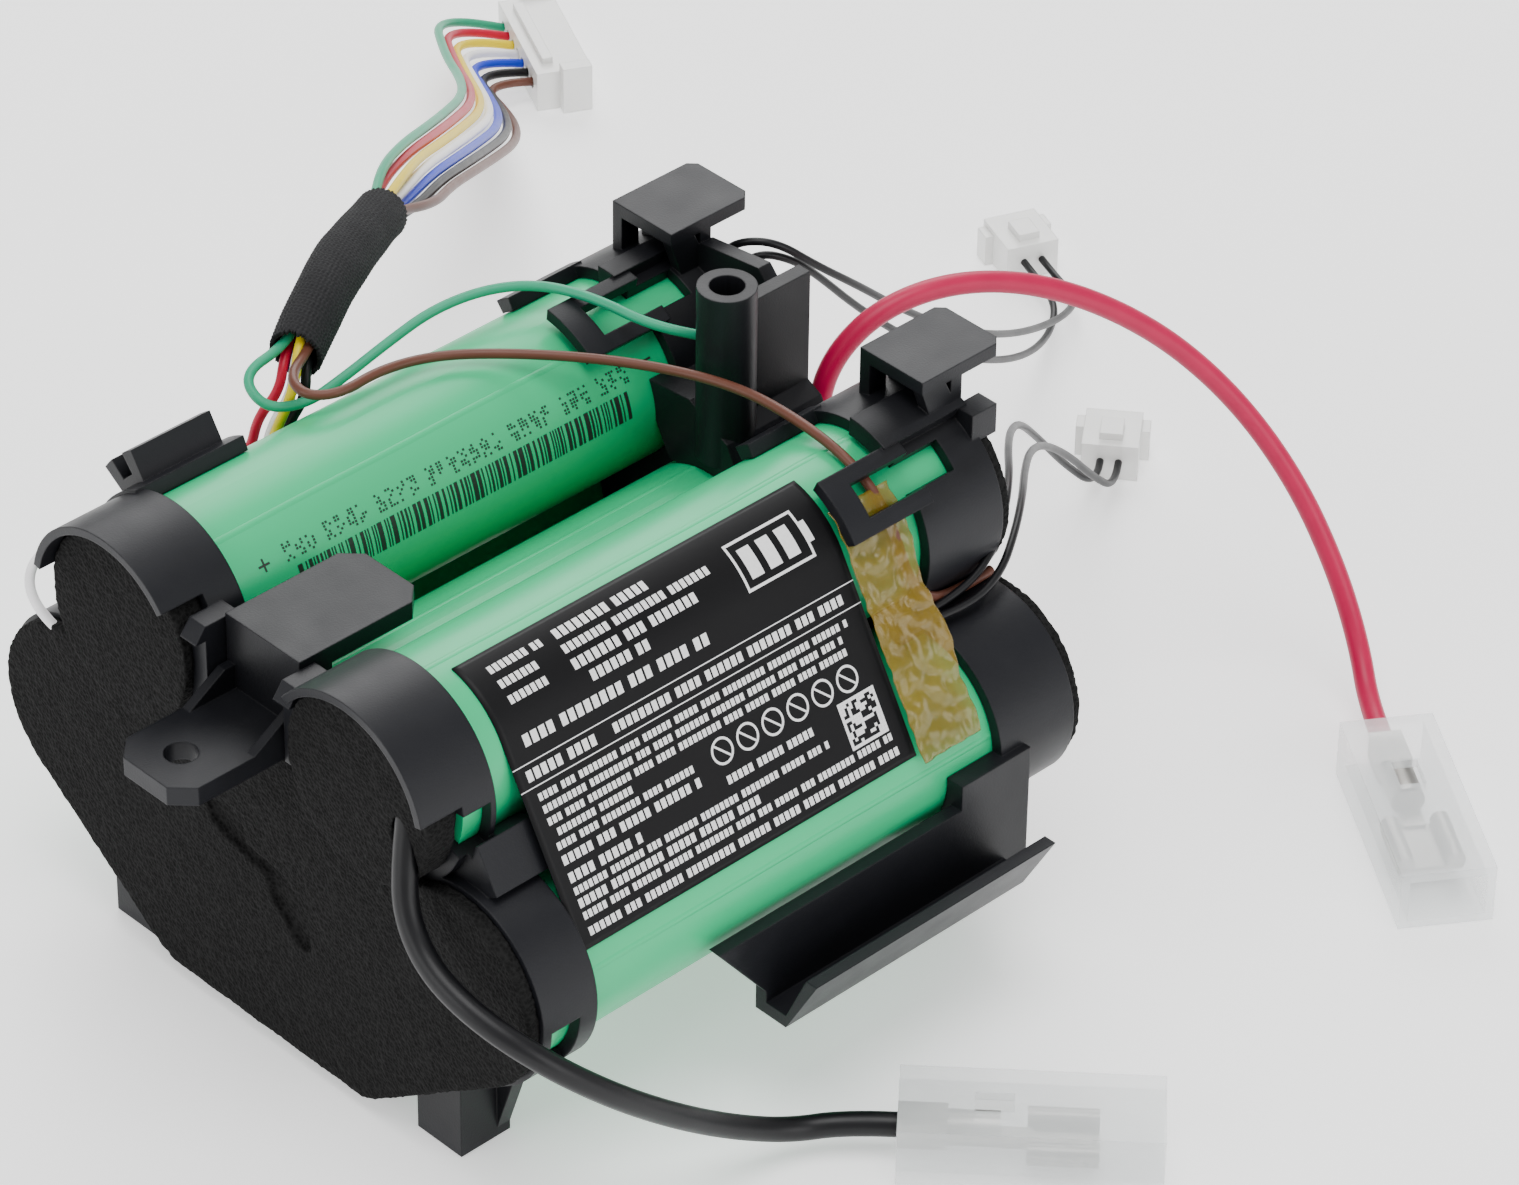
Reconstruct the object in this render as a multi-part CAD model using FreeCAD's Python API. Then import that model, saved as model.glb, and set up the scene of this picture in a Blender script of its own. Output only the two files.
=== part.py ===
import FreeCAD, Part
import math
import os
from FreeCAD import Vector

# Seven-cell lithium-ion pack (7S1P, 18650 cells) held by two moulded end caps.
# X runs along the cells, from the foam-covered front cap to the rear cap.
# Y is across the pack, +Y to the left, and the plane y = 0 is the pack's plane of symmetry.
# Z is up. z = 0 is the floor under the feet, and x = 0 is halfway between ear tip and hook ends.

# ---- driving dimensions, millimetres ----------------------------------------------------------
# cells
can_diameter = 18.0
cell_length = 65.0
button_diameter = 5.8
button_height = 0.9
sleeve_wall = 0.2
sleeve_lip = 2.6
cell_pitch = 20.3
top_spacing = 33.0
lower_axis_height = 11.0
crimp_from_top = 4.2
crimp_width = 1.3
crimp_depth = 0.5
ring_thickness = 0.3
ring_bore = 6.6

# end caps
bore_clearance = 0.1
collar_wall = 1.2
plate_thickness = 1.0
window_radius = 6.0
rim_reach = 4.8
rim_wall = 0.85
front_collar = 3.8
side_collar = 6.5
rear_collar = 9.7
base_margin = 1.2

# nickel links and foam
link_thickness = 0.2
link_width = 8.0
weld_cup_radius = 2.8
foam_thickness = 1.4
foam_disc_thickness = 3.4
foam_gap = 0.1
foam_inset = 0.4

# front ear, with the fixing hole
ear_reach = 9.2
ear_width = 10.0
ear_thickness = 2.0
ear_corner = 2.0
ear_hole_diameter = 3.2
ear_hole_from_tip = 4.2

# tongue plate over the middle cell
tongue_reach = 20.0
tongue_width = 10.2
tongue_thickness = 1.9
tongue_corner = 1.8
tongue_rise = 6.0

# rear screw boss
boss_diameter = 5.8
boss_hole_diameter = 3.4
boss_hole_depth = 9.0
boss_from_cell_end = 8.9
boss_top_rise = 17.8
boss_height = 19.0

# rear hooks
hook_length = 10.5
hook_width = 8.2
hook_thickness = 1.4
hook_top_rise = 15.0
hook_overhang = 5.3
hook_leg = 1.3

# open frames on the upper cells' shoulders
wire_clearance = 0.2
frame_wall = 1.2

# guide rails beside the lower cells
rail_length = 31.0
rail_gap = 0.7
rail_wall = 1.4
rail_depth = 6.6
rail_channel = 2.6
rail_flare = 2.5
rail_gusset = 6.0
rail_drop = 4.3

# feet
foot_length = 6.0
foot_width = 5.0

# label and tape
label_length = 42.0
label_thickness = 0.15
label_start_angle = 10.0
label_from_rim = 11.4
tape_thickness = 0.08
tape_length = 7.4

# leads
main_cable_diameter = 2.2
ground_cable_diameter = 2.4
tap_wire_diameter = 1.0
sense_wire_diameter = 0.8
thermistor_diameter = 2.4
thermistor_length = 4.5

# harness sleeve and its seven-way connector
harness_sleeve_diameter = 5.6
harness_sleeve_wall = 0.45
pin_pitch = 2.0
pin_count = 7
plug_end_margin = 2.2
plug_depth = 6.4
plug_height = 4.8
plug_wire_height = 2.6
plug_hole_radius = 0.75
plug_hole_depth = 3.9
contact_radius = 0.45

# one-way blade housings on the main cables
housing_length = 24.5
housing_width = 9.4
housing_height = 6.4
housing_wall = 0.9
barrel_radius = 1.7
barrel_length = 4.8
strain_length = 4.6
blade_socket_length = 6.6
blade_socket_width = 6.6
socket_roll_radius = 0.95
socket_sheet = 0.5

# two-way thermistor connectors
sense_length = 6.6
sense_width = 6.0
sense_height = 4.2

# ---- values worked out from them --------------------------------------------------------------
can_radius = can_diameter / 2
sleeve_radius = can_radius + sleeve_wall
bore_radius = sleeve_radius + bore_clearance
collar_radius = bore_radius + collar_wall

half_top = top_spacing / 2
valley_drop = math.sqrt(cell_pitch ** 2 - half_top ** 2)
side_shift = cell_pitch * math.cos(math.radians(60))
side_drop = cell_pitch * math.sin(math.radians(60))
top_axis_height = lower_axis_height + side_drop + valley_drop
side_axis_height = top_axis_height - side_drop

front_plate_in = rim_reach + plate_thickness
cell_start = front_plate_in + sleeve_wall
cell_end = cell_start + cell_length
rear_plate_in = cell_end + sleeve_wall
rear_plate_out = rear_plate_in + plate_thickness
hook_end = rear_plate_out + hook_overhang
rim_x = -(hook_end - ear_reach) / 2

# cells in series order: (y, z, end of the positive button)
CELLS = [
    (-half_top, top_axis_height, "rear"),
    (-half_top - side_shift, side_axis_height, "front"),
    (-side_shift, lower_axis_height, "rear"),
    (side_shift, lower_axis_height, "front"),
    (half_top + side_shift, side_axis_height, "rear"),
    (half_top, top_axis_height, "front"),
    (0.0, top_axis_height - valley_drop, "rear"),
]
FRONT_LINKS = [(1, 2), (3, 4), (5, 6)]
REAR_LINKS = [(0, 1), (2, 3), (4, 5)]


def at(distance):
    """The x of a station given by its distance behind the front rim."""
    return rim_x + distance


def box(x0, x1, y0, y1, z0, z1):
    """A block between two corners, with y given in either order."""
    low = min(y0, y1)
    return Part.makeBox(x1 - x0, abs(y1 - y0), z1 - z0, Vector(x0, low, z0))


def rod(y, z, radius, x0, x1):
    """A round bar along X."""
    return Part.makeCylinder(radius, x1 - x0, Vector(x0, y, z), Vector(1, 0, 0))


def post(x, y, radius, z0, z1):
    """A round bar along Z."""
    return Part.makeCylinder(radius, z1 - z0, Vector(x, y, z0))


def prism(points, direction):
    """A closed polygon pushed along a direction."""
    wire = Part.makePolygon([Vector(*p) for p in points + points[:1]])
    return Part.Face(wire).extrude(Vector(*direction))


def plate(outline, x0, x1):
    """A flat piece across the pack: a (y, z) outline between two x."""
    return prism([(x0, y, z) for y, z in outline], (x1 - x0, 0, 0))


def slab(outline, z0, z1):
    """A level piece: an (x, y) outline between two z."""
    return prism([(x, y, z0) for x, y in outline], (0, 0, z1 - z0))


def polar(centre, radius, angle):
    """A (y, z) point round a cell: angle 0 is straight up, 90 is to the right (-Y)."""
    turn = math.radians(angle)
    return (centre[0] - radius * math.sin(turn), centre[1] + radius * math.cos(turn))


def sector(centre, inner, outer, start, end, x0, x1):
    """Part of a ring round a cell between two angles."""
    middle = (start + end) / 2

    def spot(radius, angle):
        y, z = polar(centre, radius, angle)
        return Vector(x0, y, z)

    edges = [
        Part.Arc(spot(inner, start), spot(inner, middle), spot(inner, end)).toShape(),
        Part.makeLine(spot(inner, end), spot(outer, end)),
        Part.Arc(spot(outer, end), spot(outer, middle), spot(outer, start)).toShape(),
        Part.makeLine(spot(outer, start), spot(inner, start)),
    ]
    return Part.Face(Part.Wire(edges)).extrude(Vector(x1 - x0, 0, 0))


def capsule(first, second, radius, x0, x1):
    """The outline round two points in one plane, as a flat piece across the pack."""
    dy = second[0] - first[0]
    dz = second[1] - first[1]
    reach = math.hypot(dy, dz)
    ny = -dz / reach * radius
    nz = dy / reach * radius
    bar = plate(
        [
            (first[0] + ny, first[1] + nz),
            (second[0] + ny, second[1] + nz),
            (second[0] - ny, second[1] - nz),
            (first[0] - ny, first[1] - nz),
        ],
        x0,
        x1,
    )
    ends = [rod(first[0], first[1], radius, x0, x1), rod(second[0], second[1], radius, x0, x1)]
    return join([bar] + ends)


def join(shapes):
    """One solid from pieces that overlap or share a face."""
    whole = shapes[0].multiFuse(shapes[1:]) if len(shapes) > 1 else shapes[0]
    return whole.removeSplitter()


def mirrored(shape):
    """The same piece on the other side of the plane of symmetry."""
    return shape.mirror(Vector(0, 0, 0), Vector(0, 1, 0))


# ---- end caps ---------------------------------------------------------------------------------
def cap_body(x0, x1, radius):
    """The seven collars joined by the webs between neighbouring cells."""
    order = [5, 6, 0, 1, 2, 3, 4]
    web = plate([CELLS[i][:2] for i in order], x0, x1)
    collars = [rod(y, z, radius, x0, x1) for y, z, _ in CELLS]
    return join([web] + collars)


def lower_face(x0, x1, radius):
    """The flat-bottomed plate round the four lower cells."""
    pieces = [
        capsule(CELLS[4], CELLS[3], radius, x0, x1),
        capsule(CELLS[3], CELLS[2], radius, x0, x1),
        capsule(CELLS[2], CELLS[1], radius, x0, x1),
    ]
    return join(pieces)


def bores(x0, x1):
    return [rod(y, z, bore_radius, x0, x1) for y, z, _ in CELLS]


def windows(x0, x1):
    return [rod(y, z, window_radius, x0, x1) for y, z, _ in CELLS]


def ear():
    """The front ear that a screw goes through, and its root on the middle cell's collar."""
    top = CELLS[6][1] + collar_radius - 0.5
    half = ear_width / 2
    tip = at(-ear_reach)
    outline = [
        (at(rim_reach + 1.0), -half),
        (tip + ear_corner, -half),
        (tip, -half + ear_corner),
        (tip, half - ear_corner),
        (tip + ear_corner, half),
        (at(rim_reach + 1.0), half),
    ]
    blade = slab(outline, top - ear_thickness, top)
    hole = post(tip + ear_hole_from_tip, 0, ear_hole_diameter / 2, top - 5, top + 5)
    ribs = []
    for side in (-1, 1):
        y0 = side * (half - 1.0)
        y1 = side * half
        rib = prism(
            [
                (at(-1.5), y0, top - 0.5),
                (at(rim_reach + 1.0), y0, top - 0.5),
                (at(rim_reach + 1.0), y0, top + 2.6),
                (at(rim_reach - 1.2), y0, top + 2.6),
            ],
            (0, y1 - y0, 0),
        )
        ribs.append(rib)
    return join([blade] + ribs).cut(hole)


def tongue():
    """The plate that reaches back over the middle cell, and the two snap arms beside it."""
    top = top_axis_height + tongue_rise
    half = tongue_width / 2
    end = at(tongue_reach)
    outline = [
        (at(front_plate_in), -half),
        (end - tongue_corner, -half),
        (end, -half + tongue_corner),
        (end, half - tongue_corner),
        (end - tongue_corner, half),
        (at(front_plate_in), half),
    ]
    blade = slab(outline, top - tongue_thickness, top)
    root_end = at(front_plate_in + front_collar - 1.0)
    root = box(at(rim_reach), root_end, -half, half, CELLS[6][1] + can_radius, top)
    arms = []
    for side in (-1, 1):
        arm = box(
            at(rim_reach - 2.2),
            at(rim_reach + 1.6),
            side * (half + 0.2),
            side * (half + 2.4),
            CELLS[6][1] + can_radius - 1.0,
            top - 0.6,
        )
        lip = prism(
            [
                (at(rim_reach - 2.2), side * (half + 0.2), top - 2.2),
                (at(rim_reach - 3.4), side * (half + 0.2), top - 2.2),
                (at(rim_reach - 2.2), side * (half + 0.2), top - 0.6),
            ],
            (0, side * 2.2, 0),
        )
        arms += [arm, lip]
    return [blade, root] + arms


def foot(x0, side):
    """A block between a side cell and a lower cell, down to the floor."""
    lower = CELLS[2]
    inner = side * (abs(lower[0]) + collar_radius - 2.0)
    outer = side * (abs(lower[0]) + collar_radius + foot_width - 1.0)
    top = side_axis_height - collar_radius + 0.8
    block = box(x0, x0 + foot_length, inner, outer, 0, top)
    brace = plate(
        [
            (outer, 1.0),
            (outer + side * 3.6, side_axis_height - collar_radius - 0.5),
            (outer + side * 3.6, side_axis_height - collar_radius + 2.4),
            (outer, side_axis_height - collar_radius + 1.4),
        ],
        x0 + foot_length - 1.6,
        x0 + foot_length,
    )
    return join([block, brace])


def front_cap():
    """Collars, end plate with weld windows, rims, ear, tongue, cable slot and feet."""
    x0 = at(rim_reach)
    x1 = at(front_plate_in + front_collar - 1.0)
    pieces = [cap_body(x0, x1, collar_radius)]
    pieces.append(lower_face(x0, at(front_plate_in), collar_radius))
    for index in (1, 4):
        y, z, _ = CELLS[index]
        pieces.append(rod(y, z, collar_radius, x0, at(rim_reach + side_collar)))
    for index, start, end in ((0, -52, 78), (5, -78, 52)):
        inner = collar_radius - rim_wall
        pieces.append(
            sector(CELLS[index], inner, collar_radius, start, end, at(0), x0 + 0.4)
        )
    pieces += tongue()
    pieces.append(ear())
    for side in (-1, 1):
        pieces.append(foot(at(front_plate_in), side))
        pieces.append(junction_block(side))
    pieces.append(shoulder_latch())
    body = join(pieces)
    end = at(front_plate_in + front_collar + side_collar)
    body = body.cut(bores(at(front_plate_in), end))
    body = body.cut(windows(x0 - 1, at(front_plate_in) + 1))
    floor_cut = box(x0 - 1, at(front_plate_in), -60, 60, -1, base_margin)
    body = body.cut(floor_cut)
    return body.cut(cable_slot()).cut(side_window())


def junction_block(side):
    """The moulded block in the valley between an upper cell and its side cell."""
    upper = (side * half_top, top_axis_height)
    lower = (side * (half_top + side_shift), side_axis_height)
    middle = ((upper[0] + lower[0]) / 2, (upper[1] + lower[1]) / 2)
    out = (side * side_drop / cell_pitch, side_shift / cell_pitch)
    along = (out[1] * side, -out[0] * side)
    x0 = at(front_plate_in)
    outline = []
    for depth, shift in ((2.0, -2.6), (8.4, -2.6), (8.4, 2.4), (2.0, 2.4)):
        outline.append(
            (
                middle[0] + out[0] * depth + along[0] * shift,
                middle[1] + out[1] * depth + along[1] * shift,
            )
        )
    return plate(outline, x0, at(front_plate_in + front_collar + 3.2))


def shoulder_latch():
    """The latch block on the outer shoulder of the left upper cell."""
    centre = CELLS[5]
    x0 = at(front_plate_in + front_collar - 2.0)
    base = sector(centre, bore_radius, collar_radius + 0.3, -62, -24, x0, at(20.5))
    block = sector(centre, bore_radius + 0.6, collar_radius + 3.4, -56, -33, at(9.8), at(19.2))
    hollow = sector(centre, collar_radius + 1.2, collar_radius + 4.0, -49, -40, at(8.8), at(12.0))
    return join([base, block]).cut(hollow)


def cable_slot():
    """The gap in the right upper collar that the negative cable leaves by."""
    return sector(CELLS[0], bore_radius - 1.0, collar_radius + 0.6, 84, 112, at(1.0), at(8.0))


def side_window():
    """The opening low in the right side collar."""
    x0 = at(rim_reach + 1.0)
    return sector(CELLS[1], bore_radius - 0.5, collar_radius + 1.0, 92, 128, x0, x0 + 3.4)


def rear_cap():
    """Collars, end plate, windows, hooks, screw boss, guide rails and feet."""
    x0 = at(rear_plate_out - rear_collar)
    x1 = at(rear_plate_out)
    pieces = [cap_body(x0, x1, collar_radius)]
    pieces.append(lower_face(at(rear_plate_in), x1, collar_radius))
    pieces += boss_pedestal()
    for side in (-1, 1):
        rail = guide_rail()
        pieces.append(rail if side < 0 else mirrored(rail))
        pieces.append(foot(x0 + 1.6, side))
    for index in (0, 5):
        pieces += shoulder_frame(index)
    body = join(pieces)
    body = body.cut(bores(at(front_plate_in), at(rear_plate_in)))
    body = body.cut(windows(at(rear_plate_in) - 1, x1 + 1))
    for index in (0, 5):
        body = body.cut(frame_window(index))
    for side in (-1, 1):
        body = body.fuse(hook(side))
    boss_x = at(cell_end - boss_from_cell_end)
    top = top_axis_height + boss_top_rise
    hole = post(boss_x, 0, boss_hole_diameter / 2, top - boss_hole_depth, top + 1)
    return body.cut(hole).removeSplitter()


def boss_pedestal():
    """The boss, the block it stands on and the web that ties it to the left upper collar."""
    boss_x = at(cell_end - boss_from_cell_end)
    top = top_axis_height + boss_top_rise
    radius = boss_diameter / 2
    foot_z = CELLS[6][1] + bore_radius
    end = at(rear_plate_out)
    column = post(boss_x, 0, radius, top - boss_height, top)
    block = plate(
        [
            (-5.4, foot_z - 1.0),
            (5.4, foot_z - 1.0),
            (9.4, top_axis_height + 4.0),
            (2.6, top_axis_height + 4.6),
            (-2.6, top_axis_height + 2.0),
        ],
        boss_x - radius + 0.6,
        end,
    )
    rib = box(boss_x, end, -0.8, 0.8, foot_z, top - 2.6)
    wall = plate(
        [
            (0.8, foot_z),
            (0.8, top_axis_height + 9.5),
            (4.6, top_axis_height + 13.6),
            (12.5, top_axis_height + 12.6),
            (half_top, top_axis_height + collar_radius - 0.6),
            (half_top - 4, top_axis_height),
        ],
        at(rear_plate_in - 0.6),
        end,
    )
    return [column, block, rib, wall]


def hook(side):
    """An L-shaped hook: a level plate on a rear wall, a front leg and a slanting brace."""
    centre = side * half_top
    top = top_axis_height + hook_top_rise
    under = top - hook_thickness
    x1 = at(hook_end)
    x0 = x1 - hook_length
    inner = centre - side * (hook_width / 2 - 0.4)
    outer = centre + side * (hook_width / 2 + 0.4)
    y0 = min(inner, outer)
    y1 = max(inner, outer)
    chamfer = 0.8
    top_plate = slab(
        [
            (x0, y0),
            (x1 - chamfer, y0),
            (x1, y0 + chamfer),
            (x1, y1 - chamfer),
            (x1 - chamfer, y1),
            (x0, y1),
        ],
        under,
        top,
    )
    seat = top_axis_height + collar_radius - 1.2
    left_leg = box(x0, x0 + 2.2, y1 - hook_leg, y1, seat - 1.4, under + 0.2)
    wall = box(at(rear_plate_in - 0.4), at(rear_plate_out), y0, y1, seat - 1.0, under + 0.2)
    brace = prism(
        [
            (x0, y0, under + 0.2),
            (x0 + 3.0, y0, under + 0.2),
            (at(rear_plate_out), y0, seat),
            (at(rear_plate_out) - 3.6, y0, seat),
        ],
        (0, hook_leg, 0),
    )
    return join([top_plate, left_leg, wall, brace])


def shoulder_frame(index):
    """The open frame on an upper cell's right shoulder, the pad beside it and the left finger."""
    centre = CELLS[index]
    tilt = 0 if index == 0 else -18
    start = at(rear_plate_out - rear_collar - 9.2)
    root = at(rear_plate_out - rear_collar + 1.0)
    under = sleeve_radius + tap_wire_diameter + wire_clearance
    frame = sector(centre, under, under + frame_wall, 24 + tilt, 58 + tilt, start, root)
    pad = sector(centre, bore_radius + 0.6, under + frame_wall + 0.3, 3 + tilt / 3, 26 + tilt,
                 root - 2.0, at(rear_plate_out))
    finger = sector(centre, bore_radius, collar_radius + 0.2, -40, -29, start + 0.8, root)
    nub = box(at(rear_plate_in), at(rear_plate_out + 2.2), centre[0] - 7.0, centre[0] - 4.6,
              top_axis_height + 7.4, top_axis_height + 10.6)
    return [frame, pad, finger, nub]


def frame_window(index):
    """The slot through the frame and the collar behind it."""
    tilt = 0 if index == 0 else -18
    start = at(rear_plate_out - rear_collar - 6.4)
    return sector(CELLS[index], bore_radius - 0.6, collar_radius + 2.0, 32 + tilt, 50 + tilt,
                  start, start + 11.8)


def guide_rail():
    """A J-shaped rail beside the right side cell, open upwards."""
    wall_y = CELLS[1][0] - sleeve_radius - rail_gap
    top = side_axis_height - rail_drop
    bottom = top - rail_depth
    x1 = at(rear_plate_out - rear_collar)
    x0 = x1 - rail_length
    out = wall_y - rail_wall
    section = [
        (wall_y, top),
        (wall_y, bottom - rail_wall),
        (out - rail_channel, bottom - rail_wall),
        (out - rail_channel - rail_wall - rail_flare, top - 1.0),
        (out - rail_channel - rail_flare, top - 1.0),
        (out - rail_channel, bottom),
        (out, bottom),
        (out, top),
    ]
    channel = plate(section, x0, x1)
    gusset = prism(
        [
            (x0 - rail_gusset, wall_y, top + 2.2),
            (x0 + 1, wall_y, bottom),
            (x1, wall_y, bottom),
            (x1, wall_y, top + 2.2),
        ],
        (0, -rail_wall, 0),
    )
    arm = box(x1 - 6.0, x1 + 3.0, wall_y + 2.4, out, bottom - rail_wall, top + 5.0)
    return join([channel, gusset, arm])



# ---- cells ------------------------------------------------------------------------------------
def ends(facing):
    """Where a cell's flat end and button end are, and the sign of X from flat to button."""
    if facing == "rear":
        return at(cell_start), at(cell_end), 1
    return at(cell_end), at(cell_start), -1


def span(y, z, radius, first, second):
    """A round bar between two x given in either order."""
    return rod(y, z, radius, min(first, second), max(first, second))


def cell_can(cell):
    """The steel can with its crimp groove and the positive button."""
    y, z, facing = cell
    flat, top, sign = ends(facing)
    shoulder = top - sign * button_height
    can = span(y, z, can_radius, flat, shoulder)
    button = span(y, z, button_diameter / 2, shoulder - sign, top)
    groove_near = top - sign * crimp_from_top
    groove_far = groove_near - sign * crimp_width
    ring = span(y, z, can_radius + 1, groove_near, groove_far)
    core = span(y, z, can_radius - crimp_depth, groove_near + sign, groove_far - sign)
    return join([can, button]).cut(ring.cut(core))


def insulator_ring(cell):
    """The card washer under the sleeve's lip, round the button."""
    y, z, facing = cell
    flat, top, sign = ends(facing)
    shoulder = top - sign * button_height
    outer = span(y, z, can_radius - 0.2, shoulder, shoulder + sign * ring_thickness)
    return outer.cut(span(y, z, ring_bore / 2, shoulder - sign, shoulder + 2 * sign))


def cell_sleeve(cell):
    """The shrunk plastic sleeve, with a lip over each end."""
    y, z, facing = cell
    flat, top, sign = ends(facing)
    shoulder = top - sign * (button_height - ring_thickness)
    first = flat - sign * sleeve_wall
    last = shoulder + sign * sleeve_wall
    outer = span(y, z, sleeve_radius, first, last)
    hollow = span(y, z, can_radius, flat, shoulder)
    mouth = span(y, z, can_radius - sleeve_lip, first - sign, last + sign)
    return outer.cut(hollow).cut(mouth)


# ---- nickel links -----------------------------------------------------------------------------
def weld_cup(index, front):
    """The pressed cup that reaches through a plate's window to the cell's end."""
    y, z, _ = CELLS[index]
    if front:
        return rod(y, z, weld_cup_radius, at(rim_reach - link_thickness), at(cell_start))
    return rod(y, z, weld_cup_radius, at(cell_end), at(rear_plate_out + link_thickness))


def link(first, second, front):
    """A nickel strip between two cells, welded to both."""
    x0 = at(rim_reach - link_thickness) if front else at(rear_plate_out)
    strip = capsule(CELLS[first][:2], CELLS[second][:2], link_width / 2, x0, x0 + link_thickness)
    slit = capsule_slit(CELLS[first][:2], CELLS[second][:2], x0)
    return join([strip, weld_cup(first, front), weld_cup(second, front)]).cut(slit)


def capsule_slit(first, second, x0):
    """The welding slits across both ends of a strip."""
    reach = math.hypot(second[0] - first[0], second[1] - first[1])
    along = ((second[0] - first[0]) / reach, (second[1] - first[1]) / reach)
    slits = []
    for centre, sign in ((first, -1), (second, 1)):
        start = centre[0] + sign * along[0] * 3.0, centre[1] + sign * along[1] * 3.0
        end = centre[0] + sign * along[0] * 5.0, centre[1] + sign * along[1] * 5.0
        half = (-along[1] * 0.25, along[0] * 0.25)
        slits.append(
            plate(
                [
                    (start[0] + half[0], start[1] + half[1]),
                    (end[0] + half[0], end[1] + half[1]),
                    (end[0] - half[0], end[1] - half[1]),
                    (start[0] - half[0], start[1] - half[1]),
                ],
                x0 - 1,
                x0 + link_thickness + 1,
            )
        )
    return Part.makeCompound(slits)


def end_tab(index, reach_to, front):
    """The strip that a main cable is soldered to."""
    x0 = at(rim_reach - link_thickness) if front else at(rear_plate_out)
    strip = capsule(CELLS[index][:2], reach_to, link_width / 2 - 1, x0, x0 + link_thickness)
    return join([strip, weld_cup(index, front)])


# ---- foam pads --------------------------------------------------------------------------------
def front_foam():
    """The pad over the front plate: one sheet with two raised discs, a slot and a notch."""
    x1 = at(rim_reach)
    x0 = x1 - foam_thickness
    radius = collar_radius - foam_inset
    sheet = [lower_face(x0, x1, radius)]
    order = [5, 6, 0, 1, 2, 3, 4]
    sheet.append(plate([CELLS[i][:2] for i in order], x0, x1))
    y, z, _ = CELLS[6]
    sheet.append(rod(y, z, radius - 1.6, x0, x1))
    for index in (0, 5):
        y, z, _ = CELLS[index]
        disc_radius = collar_radius - rim_wall - foam_gap
        sheet.append(rod(y, z, disc_radius, x1 - foam_disc_thickness, x1))
    pad = join(sheet)
    slot = plate(
        [
            (7.6, 24.4),
            (4.6, 25.6),
            (2.6, 24.6),
            (2.0, 22.4),
            (-3.4, 21.6),
            (-6.4, 19.0),
            (-6.8, 14.6),
            (-5.0, 14.6),
            (-1.4, 18.4),
            (-0.8, 20.6),
            (2.4, 21.0),
            (6.6, 22.4),
        ],
        x0 - 1,
        x1 - foam_thickness / 2,
    )
    base = box(x0 - 1, x1 + 1, -60, 60, -1, base_margin + 0.3)
    ear_gap = box(x0 - 3, x1 + 1, -ear_width / 2 - 0.2, ear_width / 2 + 0.2,
                  CELLS[6][1] + can_radius - 1.6, top_axis_height + 20)
    return pad.cut(slot).cut(base).cut(ear_gap)


def rear_foam():
    """The pad over the rear plate."""
    x0 = at(rear_plate_out)
    x1 = x0 + foam_thickness
    radius = collar_radius - foam_inset
    order = [5, 6, 0, 1, 2, 3, 4]
    sheet = [lower_face(x0, x1, radius), plate([CELLS[i][:2] for i in order], x0, x1)]
    for index in (0, 5, 6):
        y, z, _ = CELLS[index]
        sheet.append(rod(y, z, radius, x0, x1))
    base = box(x0 - 1, x1 + 1, -60, 60, -1, base_margin + 0.3)
    gate = box(x0 - 1, x1 + 1, -2.6, 2.2, CELLS[6][1] + 1.0, top_axis_height + 20)
    return join(sheet).cut(base).cut(gate)


# ---- label and tape ---------------------------------------------------------------------------
def wrap(start_angle, past, inner, thickness, x0, x1):
    """A thin sheet from an upper cell's top, round it and flat down to its side cell."""
    upper = CELLS[0]
    lower = CELLS[1]
    outer = inner + thickness
    slope = 60

    def spot(centre, radius, angle):
        y, z = polar(centre, radius, angle)
        return Vector(x0, y, z)

    middle = (start_angle + slope) / 2
    after = slope + past
    half = slope + past / 2
    edges = [
        Part.Arc(spot(upper, inner, start_angle), spot(upper, inner, middle),
                 spot(upper, inner, slope)).toShape(),
        Part.makeLine(spot(upper, inner, slope), spot(lower, inner, slope)),
        Part.Arc(spot(lower, inner, slope), spot(lower, inner, half),
                 spot(lower, inner, after)).toShape(),
        Part.makeLine(spot(lower, inner, after), spot(lower, outer, after)),
        Part.Arc(spot(lower, outer, after), spot(lower, outer, half),
                 spot(lower, outer, slope)).toShape(),
        Part.makeLine(spot(lower, outer, slope), spot(upper, outer, slope)),
        Part.Arc(spot(upper, outer, slope), spot(upper, outer, middle),
                 spot(upper, outer, start_angle)).toShape(),
        Part.makeLine(spot(upper, outer, start_angle), spot(upper, inner, start_angle)),
    ]
    return Part.Face(Part.Wire(edges)).extrude(Vector(x1 - x0, 0, 0))


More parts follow.
